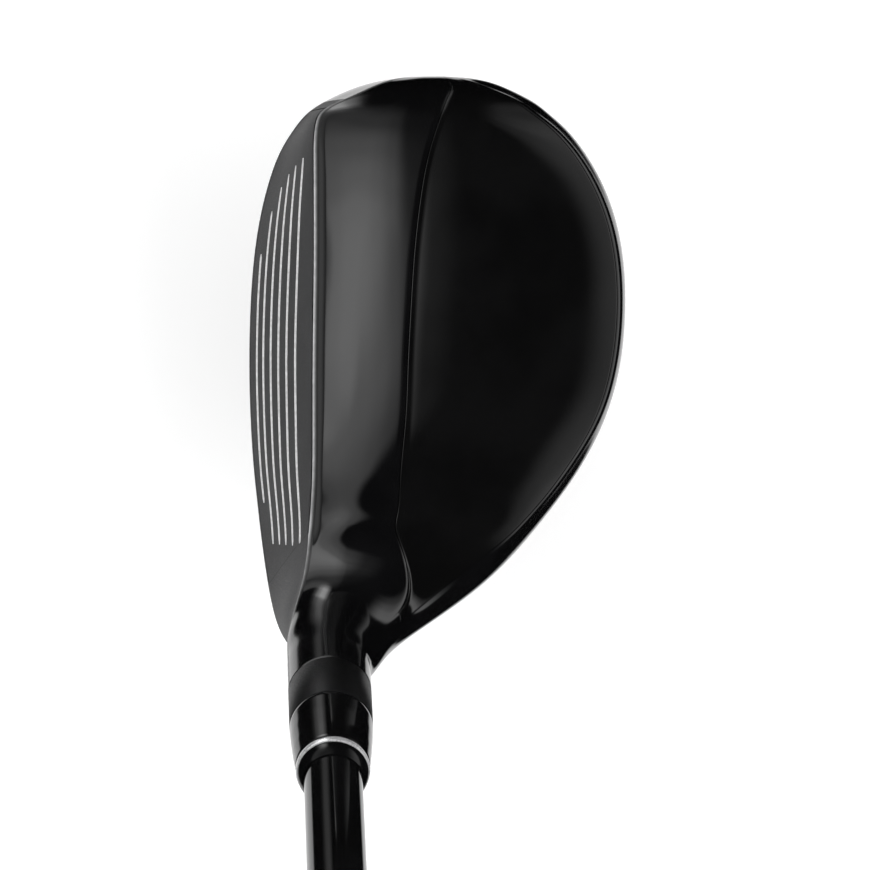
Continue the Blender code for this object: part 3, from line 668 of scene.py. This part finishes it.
def head_stations():
    """Stations close together where the toe turns, then about 0.8 mm apart."""
    toe = np.linspace(0, np.sqrt(22), 74) ** 2
    rest = np.arange(22.7, HOSEL_END, 0.75)
    marks = (*FACE_STATIONS, *PANEL_STATIONS)
    every = [s for s in np.r_[toe, rest] if min(abs(s - m) for m in marks) > 0.12]
    return sorted([*every, *marks, *marks]) + [HOSEL_END - 0.25, HOSEL_END]


def let_in(station, name, low, high, depth, count):
    """A recess across one surface: down, along and up again, or flat."""
    shares = np.linspace(low, high, count)
    points, normals = strip(station, name, np.r_[low, shares, high])
    down = np.full(count + 2, depth)
    down[[0, -1]] = 0
    return points - normals * down[:, None]


def ease(distance, reach, depth):
    """A rounded edge: the full depth at the edge itself and none beyond reach."""
    return depth * np.clip(1 - distance / reach, 0, 1) ** 2


def step_drop(distance):
    """How far the panel lies low beside the seam: rounded edge, slope, fillet."""
    edge = ease(distance, EDGE_W, EDGE_D)
    slope = 1 - (1 - np.clip(distance / STEP_W, 0, 1)) ** 2
    back_up = np.clip((distance - STEP_W) / STEP_BACK, 0, 1)
    return edge + (STEP_TOP + STEP_D * slope) * (1 - back_up) ** 2


def roll_drop(distance):
    """How far the crown's front edge rolls down, by distance from the topline."""
    flat = np.maximum(ROLL_FLAT - distance, 0)
    part = np.clip((ROLL_END - distance) / (ROLL_END - ROLL_FLAT), 0, 1)
    return ROLL_SLOPE * (flat + (ROLL_END - ROLL_FLAT) * part**2 / 2)


def fade_between(station, start, full, waning, end):
    """0 outside start and end, 1 from full to waning."""
    return min(max((station - start) / (full - start), 0), 1) * min(
        max((end - station) / (end - waning), 0), 1)


def shell_loop(station, face_depth, panel_depth):
    """One section of the body's outside, with the two recesses."""
    outline = Outline(row_at(station))

    def share(name, distance, most=0.3):
        return min(outline.share_of(name, distance), most)

    def corner(before, after, radius, count):
        """The shares at which a rounded corner starts and ends, and its points."""
        first = 1 - share(before, radius)
        last = share(after, radius)
        start = outline.at(before, first)[0]
        end = outline.at(after, last)[0]
        return first, last, pulled(start, outline.curves[before][2], end, between(count))

    lead_in, lead_out, lead = corner("sole_front", "face", LEADING_R, 6)
    top_in = 1 - share("face", TOPLINE_FACE_R)
    crease_in, crease_out, crease = corner("crown_rear", "skirt", CREASE_R, 7)
    low_in, low_out, rear = corner("skirt_low", "sole_back", SOLE_REAR_R, 7)
    loop = []

    def flat(points):
        loop.append(to_world(station, points))

    def run(name, shares):
        flat(outline.at(name, shares))

    run("sole_front", np.linspace(0, lead_in, 22))
    flat(lead)
    low = max(share("face", FACE_LOW, 0.34), lead_out + 0.01)
    high = min(1 - share("face", FACE_HIGH), top_in - 0.004)
    run("face", [lead_out])
    loop.append(let_in(station, "face", low, high, face_depth, 12))
    run("face", [top_in])
    shares = np.linspace(share("crown_front", TOPLINE_R), 1, 30)[:-1]
    points, normals = strip(station, "crown_front", shares)
    topline = outer_points(station, "crown_front", [0.0])[0]
    away = norm(points - topline, axis=1)
    fade = fade_between(station, *ROLL_FADE)
    points = points - normals * (roll_drop(away) * fade)[:, None]
    topline = topline - normals[0] * roll_drop(0.0) * fade
    below = outer_points(station, "face", [top_in])[0]
    loop += [pulled(below, topline, points[0], between(9)), points]

    ends = 1 - share("crown_top", 1.2, 0.4)
    shares = np.r_[np.linspace(0, ends, 14)[:-1], np.linspace(ends, 1, 14)]
    points, normals = strip(station, "crown_top", shares)
    step = points[-1]
    fade = fade_between(station, *SEAM_FADE)
    away = norm(points - step, axis=1) + PANEL_FRONT
    loop.append(points - normals * (ease(away, SHOULDER_W, SHOULDER_D) * fade)[:, None])
    front = share("crown_rear", PANEL_FRONT)
    back = min(1 - share("crown_rear", PANEL_BACK), crease_in - 0.004)
    points, normals = strip(station, "crown_rear", [front])
    loop.append(points - normals * SHOULDER_D * fade)
    loop.append(let_in(station, "crown_rear", front + 0.002, back, panel_depth, 16)[1:])
    run("crown_rear", [crease_in])
    flat(crease)
    run("skirt", np.linspace(crease_out, 1, 9)[:-1])
    run("skirt_low", np.linspace(0, low_in, 14))
    flat(rear)
    run("sole_back", np.linspace(low_out, 1, 34)[:-1])
    return np.concatenate(loop)


def inside(station, ends, same):
    """Whether a station, or its second copy at an end, lies in a recess."""
    first, last = ends
    if station == first:
        return same
    if station == last:
        return not same
    return first < station < last


def make_shell():
    loops = []
    stations = head_stations()
    for before, station in zip([None, *stations], stations):
        same = station == before
        face = FACE_DEPTH * inside(station, FACE_STATIONS, same)
        panel = PANEL_DEPTH * inside(station, PANEL_STATIONS, same)
        loop = shell_loop(station, face, panel)
        if station == HOSEL_END:
            x, z, _ = spine_at(station)
            middle = np.array([x, AXIS_Y, z])
            loop = middle + (loop - middle) * (HOSEL_R - 0.25) / HOSEL_R
        loops.append(loop)
    shell = loft("head_shell", loops)
    wide = len(loops[0])
    # A 0 to 1 ramp across the bevel rows, which the bevel material turns into a painted highlight:
    # bright at the face, dark at the crown
    shade = shell.data.color_attributes.new("bevel_highlight", "FLOAT_COLOR", "POINT")
    for vertex, point in enumerate(shade.data):
        level = float(np.interp(vertex % wide, BEVEL_ROWS, (0, 1)))
        point.color = (level, level, level, 1)
    finish_with(shell, *(MATERIALS[key] for key in ("body", "bevel_highlight", "face")))
    for polygon in shell.data.polygons[:(len(loops) - 1) * wide]:
        row, column = divmod(polygon.index, wide)
        if BEVEL_ROWS[0] <= column < BEVEL_ROWS[1]:
            polygon.material_index = 1
        elif FACE_ROWS[0] <= column < FACE_ROWS[1] and MATTE[0] <= stations[row] < MATTE[1]:
            polygon.material_index = 2
    return shell


def cavity_loop(station):
    """The inside of the shell: the same section drawn in by the wall."""
    row = row_at(station - 2.6 * max(1 - station / 50, 0)).copy()
    tall = min(Outline(row).length("face") / 20, 1)
    inset = ((0, 1.7), (-5 * tall, 2.9 * tall), (-2.9, -3 * tall), (-0.8, -1.3), (0, -2.2),
             (2.8, -2.8), (1.6, 0), (1.4, 1.6))
    row[:16] += np.array(inset).reshape(-1)
    outline = Outline(row)
    return to_world(station, np.concatenate([
        outline.at(name, np.linspace(0.06, 0.94, 7)) for name in outline.curves
    ]))


def slot_bar(name, half, width, low, high):
    """A round-ended bar across the sole, high measured up from the ground."""
    turn = np.linspace(-pi / 2, pi / 2, 16)
    right = width / 2 * np.stack([np.cos(turn), np.sin(turn)], 1) + (half - width / 2, 0)
    outline = np.concatenate([right, -right])
    loops = []
    for inset, z in ((0.25, low), (0.0, low + 0.25), (0.0, high)):
        scale = np.array([1 - inset / half, 1 - 2 * inset / width])
        flat = outline * scale
        loops.append(np.column_stack([flat[:, 0], SLOT_Y + flat[:, 1], np.full(len(flat), z)]))
    return loft(name, loops)


def weight_frame():
    """The sole weight's axis: local +Z points into the head."""
    grid = outer_points(TOE_X - WEIGHT_X, "sole_back", np.linspace(0, 1, 80))
    z = np.interp(WEIGHT_Y, grid[:, 1], grid[:, 2])
    return frame_along((WEIGHT_X, WEIGHT_Y, z), (0, sin(WEIGHT_TILT), cos(WEIGHT_TILT)))


WEIGHT_AXIS = weight_frame()


def make_head():
    shell = make_shell()
    cavity = loft("cavity", [cavity_loop(s) for s in np.linspace(4.2, 69.5, 34)])
    boss = [(0, -3), (10.2, -3), (10.2, 8.6), (5, 8.6), (5, 11), (0, 11)]
    carve(cavity, [turned("boss", boss, WEIGHT_AXIS, 48)])
    bore = turned("bore", [
        (0, -6), (4.5, -6), (4.5, SEAT_S), (2.75, SEAT_S), (2.75, SOCKET_FLOOR_S),
        (4.75, SOCKET_FLOOR_S), (4.75, SPLINE_TOP_S), (5.9, SPLINE_TOP_S),
        (5.9, 53.7), (6.3, 54.1), (6.3, 60), (0, 60),
    ], sides=72)
    port = turned("port", [
        (0, -4), (WEIGHT_R + 0.3, -4), (WEIGHT_R + 0.3, WEIGHT_T + 0.7),
        (SCREW_R + 0.25, WEIGHT_T + 0.7), (SCREW_R + 0.25, 10), (0, 10),
    ], WEIGHT_AXIS)
    keys = crossed_keys(10.2, 2.6, 8.5, SOCKET_FLOOR_S + 4.75)
    slot = slot_bar("slot", SLOT_HALF + 0.3, SLOT_W + 0.6, -3.0, 6.0)
    carve(shell, [cavity, bore, *keys, port, slot])
    place(shell, "head", "head_body")

    insert = slot_bar("slot_filler", SLOT_HALF, SLOT_W, 1.25, 3.4)
    fit(insert, "head", "slot_insert", rubber("slot_urethane", (0.03, 0.03, 0.033), 0.6))


MOST_EDGE = 0.36
EDGE_STEPS = (0, 0.03, 0.06, 0.1, 0.14, 0.2, 0.28, 0.38, 0.5, 0.64, 0.8, 0.98, 1.25, 1.7, 2.4)


def plate_grids(stations, name, front, back, count, thickness, drop):
    """Outer and inner grids of a let-in piece, closer together at its edges."""
    top = []
    bottom = []
    for station in stations:
        outline = Outline(row_at(station))
        low = min(outline.share_of(name, front), MOST_EDGE)
        high = 1 - min(outline.share_of(name, back), MOST_EDGE)
        span = outline.length(name) * (high - low) * 1.05
        near = np.array(EDGE_STEPS) / max(span, 3 * EDGE_STEPS[-1])
        middle = np.linspace(near[-1], 1 - near[-1], count)[1:-1]
        shares = low + (high - low) * np.r_[near, middle, 1 - near[::-1]]
        points, normals = strip(station, name, shares)
        sunk = drop(station, norm(points - points[0], axis=1),
                    norm(points - points[-1], axis=1))
        top.append(points - normals * sunk[:, None])
        bottom.append(points - normals * thickness)
    return np.array(top), np.array(bottom)


FACE_COUNT = 30
PANEL_COUNT = 40
END_STEPS = np.array([0, 0.06, 0.15])


def make_face():
    first = FACE_STATIONS[0] + FACE_GAP
    last = FACE_STATIONS[1] - FACE_HEEL_GAP
    middle = np.arange(first + 0.5, last - 0.4, 0.7)
    stations = np.r_[first + END_STEPS, middle, last - END_STEPS[::-1]]

    def drop(station, from_low, from_high):
        end = max(ease(station - first, 0.15, 0.08), ease(last - station, 0.08, 0.02))
        return np.maximum(end, np.maximum(ease(from_low, 0.15, 0.08), ease(from_high, 0.15, 0.08)))

    edges = (FACE_LOW + FACE_GAP, FACE_HIGH + FACE_TOP_GAP)
    plate = slab("face_wall", *plate_grids(stations, "face", *edges, FACE_COUNT, FACE_T, drop))
    # The plate's edge faces take the black body paint: painted shade that keeps the gaps around the
    # plate dark
    finish_with(plate, MATERIALS["face"], MATERIALS["body"])
    wide = FACE_COUNT - 2 + 2 * len(EDGE_STEPS)
    for polygon in plate.data.polygons[2 * (len(stations) - 1) * (wide - 1):]:
        polygon.material_index = 1
    cutters = [score_cutter(*line) for line in SCORES]
    for cutter in cutters:
        finish_with(cutter, MATERIALS["score"])
    carve(plate, cutters, materials="TRANSFER")
    place(plate, "head", "face_plate")


def score_cutter(z, toe, heel):
    """A V-bottomed bar along one scoreline, following the face's bulge."""
    loops = []
    up = np.array([0, -0.3256, 0.9455])
    out = np.array([0, 0.9455, 0.3256])
    for x in np.linspace(toe, heel, 60):
        station = TOE_X - x
        if station > TURN_START:
            station = TURN_START + (station - TURN_START) * 0.9
        grid = outer_points(station, "face", np.linspace(0, 1, 80))
        middle = np.array([x, np.interp(z, grid[:, 2], grid[:, 1]), z])
        end = min(toe - x, x - heel)
        half = up * SCORE_W / 2 * min(1.0, 0.55 + 0.45 * end / 0.6)
        loops.append([
            middle + out * 0.6 + half,
            middle + out * 0.6 - half,
            middle - half,
            middle - out * SCORE_D - half * 0.35,
            middle - out * SCORE_D + half * 0.35,
            middle + half,
        ])
    return loft("cut_score", loops, 0)


def make_panel():
    first = PANEL_STATIONS[0] + PANEL_GAP
    last = PANEL_STATIONS[1] - PANEL_GAP
    toe = np.linspace(np.sqrt(first + 0.4), np.sqrt(20), 50) ** 2
    rest = np.arange(20.7, last - 0.4, 0.75)
    stations = np.r_[first + END_STEPS, toe, rest, last - END_STEPS[::-1]]

    def drop(station, from_front, from_back):
        end = ease(min(station - first, last - station), 0.3, 0.15)
        back = ease(from_back, 0.25, 0.12)
        step = step_drop(from_front) * fade_between(station, *SEAM_FADE)
        return np.maximum(np.maximum(step, back), end)

    edges = (PANEL_FRONT + PANEL_GAP, PANEL_BACK + PANEL_GAP)
    panel = slab("crown_cover", *plate_grids(stations, "crown_rear", *edges, PANEL_COUNT, PANEL_T, drop))
    fit(panel, "head", "crown_panel", MATERIALS["panel"])


# ---- turned metalwork


def make_sole_hardware():
    bore = SCREW_R + 0.3
    seat = SCREW_HEAD_R + 0.3
    back = WEIGHT_T + 0.4
    weight = turned("weight_puck", rounded([
        (bore, back), (bore, 3.6), (seat, 3.6),
        (seat, 0.5), (5.2, 0.5), (5.35, 0.68), (5.7, 0.68), (5.85, 0.5),
        (WEIGHT_R - 0.6, 0.5), (WEIGHT_R, 1), (WEIGHT_R, back),
    ], 0.12), WEIGHT_AXIS)
    fit(weight, "weight", "sole_weight", metal("weight_steel", (0.3, 0.3, 0.31), 0.34, 0.5))
    washer = turned("weight_shim", rounded([
        (bore, 3.3), (bore, 2.9), (SCREW_HEAD_R - 0.2, 2.9), (SCREW_HEAD_R - 0.2, 3.3),
    ], 0.08), WEIGHT_AXIS)
    fit(washer, "weight", "weight_washer", metal("shim_steel", (0.45, 0.45, 0.46), 0.3))
    screw = turned("weight_bolt", threaded([
        (0, 0.7), (SCREW_HEAD_R - 0.4, 0.7), (SCREW_HEAD_R - 0.12, 0.82),
        (SCREW_HEAD_R, 1.1), (SCREW_HEAD_R, 2.6), (SCREW_R, 2.6),
    ], SCREW_R, 3.6, 9.3, 0.8, [(SCREW_R - 0.4, 9.7), (0, 9.7)]), WEIGHT_AXIS, 64)
    carve(screw, [hexagon(1.9, -1, 2.2, WEIGHT_AXIS)], smooth=30)
    fit(screw, "screw", "weight_screw", metal("screw_steel", (0.48, 0.48, 0.5), 0.28))


def threaded(head, radius, low, high, pitch, tail):
    """A profile with thread grooves turned along its shank."""
    profile = [*head, (radius, low)]
    at = low
    while at + pitch < high:
        profile += [(radius - 0.22, at + pitch * 0.45), (radius, at + pitch * 0.9)]
        at += pitch
    return [*profile, (radius, high), *tail]


def make_hosel_hardware():
    bolt = turned("sleeve_bolt", threaded([
        (0, 5.4), (3.5, 5.4), (3.85, 5.55), (4, 5.9), (4, 9.6), (2.45, 9.6),
    ], 2.45, 24.8, 33.2, 0.8, [(1.85, 34), (0, 34)]), sides=64)
    carve(bolt, [hexagon(2.1, 3, 8.3)], smooth=30)
    fit(bolt, "bolt", "hosel_bolt", metal("bolt_steel", (0.48, 0.48, 0.5), 0.28))
    washer = turned("seat_washer", rounded([
        (2.75, 9.85), (4.1, 9.85), (4.1, 10.75), (2.75, 10.75),
    ], 0.12))
    fit(washer, "head", "bolt_washer", metal("washer_steel", (0.4, 0.4, 0.41), 0.32))
    keeper = turned("bolt_keeper", rounded([(2.6, 22.3), (4.4, 22.3), (4.4, 23.9), (2.6, 23.9)]))
    fit(keeper, "head", "bolt_retainer", rubber("keeper_nylon", (0.02, 0.02, 0.02), 0.6))


def make_sleeve():
    low, high = COLLAR_S
    sleeve = turned("sleeve", [
        (0, SLEEVE_BOTTOM_S), (4.4, SLEEVE_BOTTOM_S), (4.4, SPLINE_TOP_S + 0.6), (SLEEVE_R, 31),
        (SLEEVE_R, low), (HOSEL_R - 0.2, low), (HOSEL_R - 0.06, low + 0.06), (HOSEL_R, low + 0.2),
        (HOSEL_R, high - 0.2), (HOSEL_R - 0.06, high - 0.06), (HOSEL_R - 0.2, high), (0, high),
    ])
    carve(sleeve, crossed_keys(9.6, 2, 4.6, SLEEVE_BOTTOM_S + 2.6), "UNION")
    hollow = turned("hollow", [
        (0, SLEEVE_BOTTOM_S - 2), (2.75, SLEEVE_BOTTOM_S - 2), (2.75, 36.5), (4.85, 38),
        (4.85, high + 2), (0, high + 2),
    ], sides=80)
    carve(sleeve, [hollow])
    s = Shader("sleeve_anodised", Metallic=0.6, IOR=1.45)
    grain = s.noise(4200, 3, 0.65)
    cloud = s.cloud(160, 4)
    s.colour(cloud, (0.0072, 0.0072, 0.0078), (0.012, 0.012, 0.0126))
    s.roughness(s.spread(grain, 0.3, 0.7, 0.4, 0.55))
    s.bump(grain, 0.000008)
    fit(sleeve, ROOT, "loft_sleeve", s)


def shaft_radius(along):
    return float(np.interp(along, *zip(*SHAFT_STEPS)))


def make_ferrule():
    low, high = FERRULE_S
    inner = shaft_radius(low) + 0.1
    taper = [(np.interp(s, (low, low + 4.4, low + 8.8, high), (6.8, 6.62, 6.35, 6.0)), s)
             for s in np.linspace(low + 0.25, high - 0.2, 24)]
    ferrule = turned("ferrule_body", [
        (inner, low), (HOSEL_R - 0.22, low), (HOSEL_R - 0.06, low + 0.07), *taper,
        (5.93, high - 0.05), (5.8, high), (inner, high),
    ])
    fit(ferrule, ROOT, "ferrule", gloss_black("ferrule_gloss", STACK_BLACK, 0.08, 1.4))
    low, high = RING_S
    ring = turned("silver_ring", [
        (inner, low), (5.85, low), (5.97, low + 0.06), (6.02, low + 0.2), (6.02, low + 0.55),
        (5.98, high - 0.2), (5.93, high - 0.06), (5.82, high), (inner, high),
    ])
    chrome = metal("ring_chrome", (0.9, 0.9, 0.91), 0.3, 0.0, 0.05, 0.55)
    fit(ring, ROOT, "trim_ring", chrome)
    low, high = NOSE_S
    turn = np.linspace(0, 1, 14)
    curve = [(5.8 - 0.8 * t**1.6, low + 0.25 + (high - low - 0.35) * t) for t in turn]
    nose = turned("ferrule_tip", [(inner, low), (5.65, low), (5.77, low + 0.07), *curve,
                                  (4.95, high), (inner, high)])
    black = gloss_black("nose_gloss", (0.003, 0.003, 0.0032), 0.12, 1.28)
    fit(nose, ROOT, "ferrule_nose", black)


def make_shaft():
    outer = [(shaft_radius(s), s) for s in np.r_[39, 60, np.linspace(80, 1019, 120)]]
    bore = [(6.6, 1019), (4.9, 500), (3.3, 120), (2.9, 39)]
    shaft = turned("shaft_tube", outer + bore)
    fit(shaft, ROOT, "shaft", gloss_black("shaft_lacquer", STACK_BLACK, 0.06, 1.4, 0.5))
    plug = turned("tip_stop", rounded([
        (0, 40), (2.6, 40), (2.7, 41), (2.8, 52), (2.5, 53), (0, 53),
    ], 0.1), sides=48)
    fit(plug, ROOT, "tip_plug", rubber("plug_cork", (0.5, 0.42, 0.3), 0.8, 0.00005))


def grip_relief(radius, along, turn):
    """Shallow crossing grooves, with a ring groove after each band of them."""
    low, high = GRIP_S
    share = (along - low) / (high - low)
    if radius < 8.4 or not 0.035 < share < 0.965:
        return 0.0
    band = abs((share * GRIP_BANDS) % 1 - 0.5)
    if band > 0.42:
        return -RING_GROOVE_D if band > 0.47 else 0.0
    across = turn / (2 * pi) * GRIP_GROOVES
    down = (along - low) / GRIP_PITCH
    away = min(abs((across + way * down) % 1 - 0.5) for way in (1, -1))
    return -GRIP_GROOVE_D * max(0.0, 1 - away / 0.1)


def make_grip():
    low, high = 765, 1016
    ends = ((low, 0.1), (low, 0.4), (high, 0.4), (high, 0.1))
    tape = turned("grip_wrap", [(shaft_radius(s) + gap, s) for s, gap in ends])
    fit(tape, ROOT, "grip_tape", rubber("tape_paper", (0.6, 0.57, 0.48), 0.85, 0.00003))
    low, high = GRIP_S
    steps = ((0, 8.5), (0.8, 9), (12, 9.3), (110, 10.2), (220, 11.6), (255, 12.6),
             (high - low - 4, GRIP_BUTT_R), (high - low, GRIP_BUTT_R))
    outer = [(float(np.interp(s - low, *zip(*steps))), s) for s in np.arange(low, high - 0.2, 0.45)]
    grip = turned("grip_rubber", [(shaft_radius(low) + 0.5, low), *outer, (GRIP_BUTT_R - 0.1, high),
                                  (shaft_radius(high) + 0.5, high)], SHAFT_AXIS, 192, 50, grip_relief)
    fit(grip, ROOT, "grip_sleeve", rubber("grip_compound", (0.014, 0.014, 0.015), 0.78))
    low = high + 0.3
    end = CLUB_LENGTH
    rim = [(GRIP_BUTT_R - 1.3 * (1 - cos(t)), end - 1.3 + 1.3 * sin(t))
           for t in np.linspace(0, pi / 2, 10)]
    cap = turned("butt_cap", [
        (1.0, low), (GRIP_BUTT_R - 0.1, low), (GRIP_BUTT_R, low + 0.1), *rim,
        (10.4, end), (10.2, end - 0.25), (9.6, end - 0.25), (9.4, end), (1.6, end), (1.0, end - 0.4),
    ])
    fit(cap, ROOT, "grip_cap", rubber("cap_compound", (0.013, 0.013, 0.014), 0.65))


# ---- light and camera


# Levels by angle in degrees (ACROSS, LOW, HIGH, ROUND, STRIP_ROUND) or by height
BOX_LEVEL = 3.0
BOX_EDGE = 36.0
BOX_SKEW = (0.5, 0.2)
BOX_ACROSS = ((-30, 0), (-10, 0.12), (0, 0.66), (12, 0.9), (20, 1), (44, 0.97), (57, 0.86), (60, 0.04))
BOX_LOW = ((-40, 0), (-30, 0.35), (-10, 0.58), (0, 0.93), (6, 1))
BOX_HIGH = ((12, 1), (20, 0.9), (30, 0.68), (40, 0.47), (60, 0.18), (90, 0))
HORIZON = ((-0.16, 0), (-0.05, 1), (0.08, 1), (0.2, 0.67), (0.3, 0.3), (0.42, 0))
HORIZON_LEVEL = 1.5
HORIZON_RISE = (0.2, 0.08)
HORIZON_ROUND = ((-155, 1), (-135, 0), (-85, 0), (-65, 0.6), (65, 0.6), (80, 0),
                 (120, 0), (150, 1))
STRIP_ROUND = ((9, 0), (13, 0.4), (17, 0.95), (22, 1), (27, 0.6), (34, 0.1), (38, 0))
STRIP_HEIGHT = ((-0.62, 0), (-0.55, 0.073), (-0.47, 0.2), (-0.38, 0.29), (-0.28, 0.89), (-0.03, 1),
                (0.1, 0.44), (0.2, 0.085), (0.36, 0.012), (0.46, 0))
STRIP_LEVEL = 4.5
BELOW = ((0.82, 0), (0.86, 1))
BELOW_LEVEL = 1.05
BELOW_TILT = 0.09
# The club is held by its grip: the floor leaves room for the head to slide off
FLOOR_Z = -0.06
FLOOR_GLOW = 0.3
FLOOR_HALF = 150.0
BACKDROP_R = 32.0
BACKDROP_Z = (-0.5, 9.0)
BACKDROP_SIDES = 96
LIGHTS = (
    ("fill", (-1.2, -2.4, 3.0), 4.0, 90),
    ("key", (1.4, 2.2, 3.2), 4.0, 45),
    ("overhead", (0.0, 0.0, 4.0), 6.0, 150),
)


def set_world():
    """Studio surroundings that only the gloss sees: a big overhead box, a pale
    horizon front and back, a strip light off the toe and white card below."""
    world = bpy.data.worlds.new("studio")
    bpy.context.scene.world = world
    tree = Tree(world)
    math = tree.math
    tree.nodes.clear()
    x, y, z = tree.node("SeparateXYZ", Vector=tree.node("TexCoord").outputs["Generated"]).outputs

    def ramp(value, low, high, stops):
        """A level that follows the stops, which lie between low and high."""
        node = tree.node("ValToRGB", Fac=math("DIVIDE", math("SUBTRACT", value, low), high - low))
        node.color_ramp.interpolation = "EASE"
        band = node.color_ramp.elements
        while len(band) < len(stops):
            band.new(0.5)
        for element, (at, level) in zip(band, stops):
            element.position = (at - low) / (high - low)
            element.color = (level, level, level, 1)
        return node.outputs["Color"]

    def times(first, *others):
        for other in others:
            first = math("MULTIPLY", first, other)
        return first

    def degrees_of(a, b):
        return times(math("ARCTAN2", a, b), 180 / pi)

    ax = degrees_of(x, z)
    ay = degrees_of(y, z)
    below = math("MAXIMUM", math("SUBTRACT", BOX_EDGE, ay), 0.0)
    low_at = math("SUBTRACT", ax, times(below, BOX_SKEW[0]))
    high_at = math("ADD", ax, times(below, BOX_SKEW[1]))
    box_light = times(
        ramp(ay, -90, 90, BOX_ACROSS), ramp(low_at, -90, 90, BOX_LOW), ramp(high_at, -90, 90, BOX_HIGH),
        math("GREATER_THAN", z, 0.0), BOX_LEVEL,
    )
    height = math("SUBTRACT", z, times(math("MAXIMUM", y, 0.0), HORIZON_RISE[0]))
    height = math("SUBTRACT", height, times(math("MINIMUM", y, 0.0), HORIZON_RISE[1]))
    horizon = times(
        ramp(height, -1, 1, HORIZON), ramp(degrees_of(x, y), -180, 180, HORIZON_ROUND), HORIZON_LEVEL,
    )
    strip_light = times(
        ramp(degrees_of(y, x), -180, 180, STRIP_ROUND), ramp(z, -1, 1, STRIP_HEIGHT), STRIP_LEVEL,
    )
    depth = math("ADD", times(z, -1.0), times(y, BELOW_TILT))
    card = times(ramp(depth, 0, 1.1, BELOW), BELOW_LEVEL)
    total = math("ADD", math("MAXIMUM", box_light, horizon), math("ADD", strip_light, card))
    background = tree.node("Background", Color=(1, 1, 1), Strength=total)
    tree.node("OutputWorld", Surface=background.outputs[0])
    world.cycles_visibility.diffuse = False


def add_light(name, at, size, power):
    data = bpy.data.lights.new(name, "AREA")
    data.shape = "DISK"
    data.size = size
    data.energy = power
    light = add_object(name, data)
    light.location = at
    light.rotation_mode = "QUATERNION"
    light.rotation_quaternion = (-Vector(at)).to_track_quat("-Z", "Y")
    light.visible_camera = False
    light.visible_glossy = False


def add_set(name, points, faces, shader, hidden, z=0.0):
    """Adds a glowing surface of the studio that the hidden kinds of ray don't see."""
    mesh = bpy.data.meshes.new(name)
    mesh.from_pydata(points, [], faces)
    surface = add_object(name, mesh)
    surface.location.z = z
    finish_with(surface, shader)
    shader.material.cycles.emission_sampling = "NONE"
    for kind in hidden:
        setattr(surface, "visible_" + kind, False)


def make_stage():
    s = Shader("floor_paint", Roughness=0.9, Specular_IOR_Level=0, Emission_Color=(1, 1, 1),
               Emission_Strength=FLOOR_GLOW)
    s.colour(s.cloud(3, 3), (0.9, 0.9, 0.9), (0.92, 0.92, 0.92))
    sides = ((-1, -1), (1, -1), (1, 1), (-1, 1))
    points = [(FLOOR_HALF * x, FLOOR_HALF * y, 0) for x, y in sides]
    add_set("floor", points, [(0, 1, 2, 3)], s, ("glossy",), FLOOR_Z)

    # A pale wall all round that only the camera sees
    s = Shader("backdrop_cloth", Base_Color=(0, 0, 0), Roughness=1, Specular_IOR_Level=0,
               Emission_Strength=1)
    tone = s.mix(s.cloud(0.4, 3), (0.86, 0.86, 0.86), (0.9, 0.9, 0.9))
    s.feed(s.inputs["Emission Color"], tone)
    turns = [2 * pi * k / BACKDROP_SIDES for k in range(BACKDROP_SIDES)]
    points = [(BACKDROP_R * cos(t), BACKDROP_R * sin(t), z) for z in BACKDROP_Z for t in turns]
    faces = ring_faces(2, BACKDROP_SIDES)
    add_set("backdrop", points, faces, s, ("diffuse", "glossy", "shadow"))
    for light in LIGHTS:
        add_light(*light)


def make_camera():
    back = CAMERA_BACK / norm(CAMERA_BACK)
    right = np.cross(-back, (1.0, 0.0, 0.0))
    right /= norm(right)
    up = np.cross(right, -back)
    data = bpy.data.cameras.new("camera")
    data.lens = LENS
    data.clip_end = 100
    camera = add_object("camera", data)
    turn = Matrix((right, up, back)).transposed()
    spot = Vector((TARGET + back * CAMERA_D) * MM)
    camera.matrix_world = Matrix.Translation(spot) @ turn.to_4x4()
    bpy.context.scene.camera = camera


make_head()
make_face()
make_panel()
make_sole_hardware()
make_hosel_hardware()
make_sleeve()
make_ferrule()
make_shaft()
make_grip()
finish_with(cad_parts["inner_weight"], metal("tungsten", (0.28, 0.28, 0.27), 0.5))

set_world()
make_stage()
make_camera()
bpy.context.scene.view_settings.view_transform = "Standard"
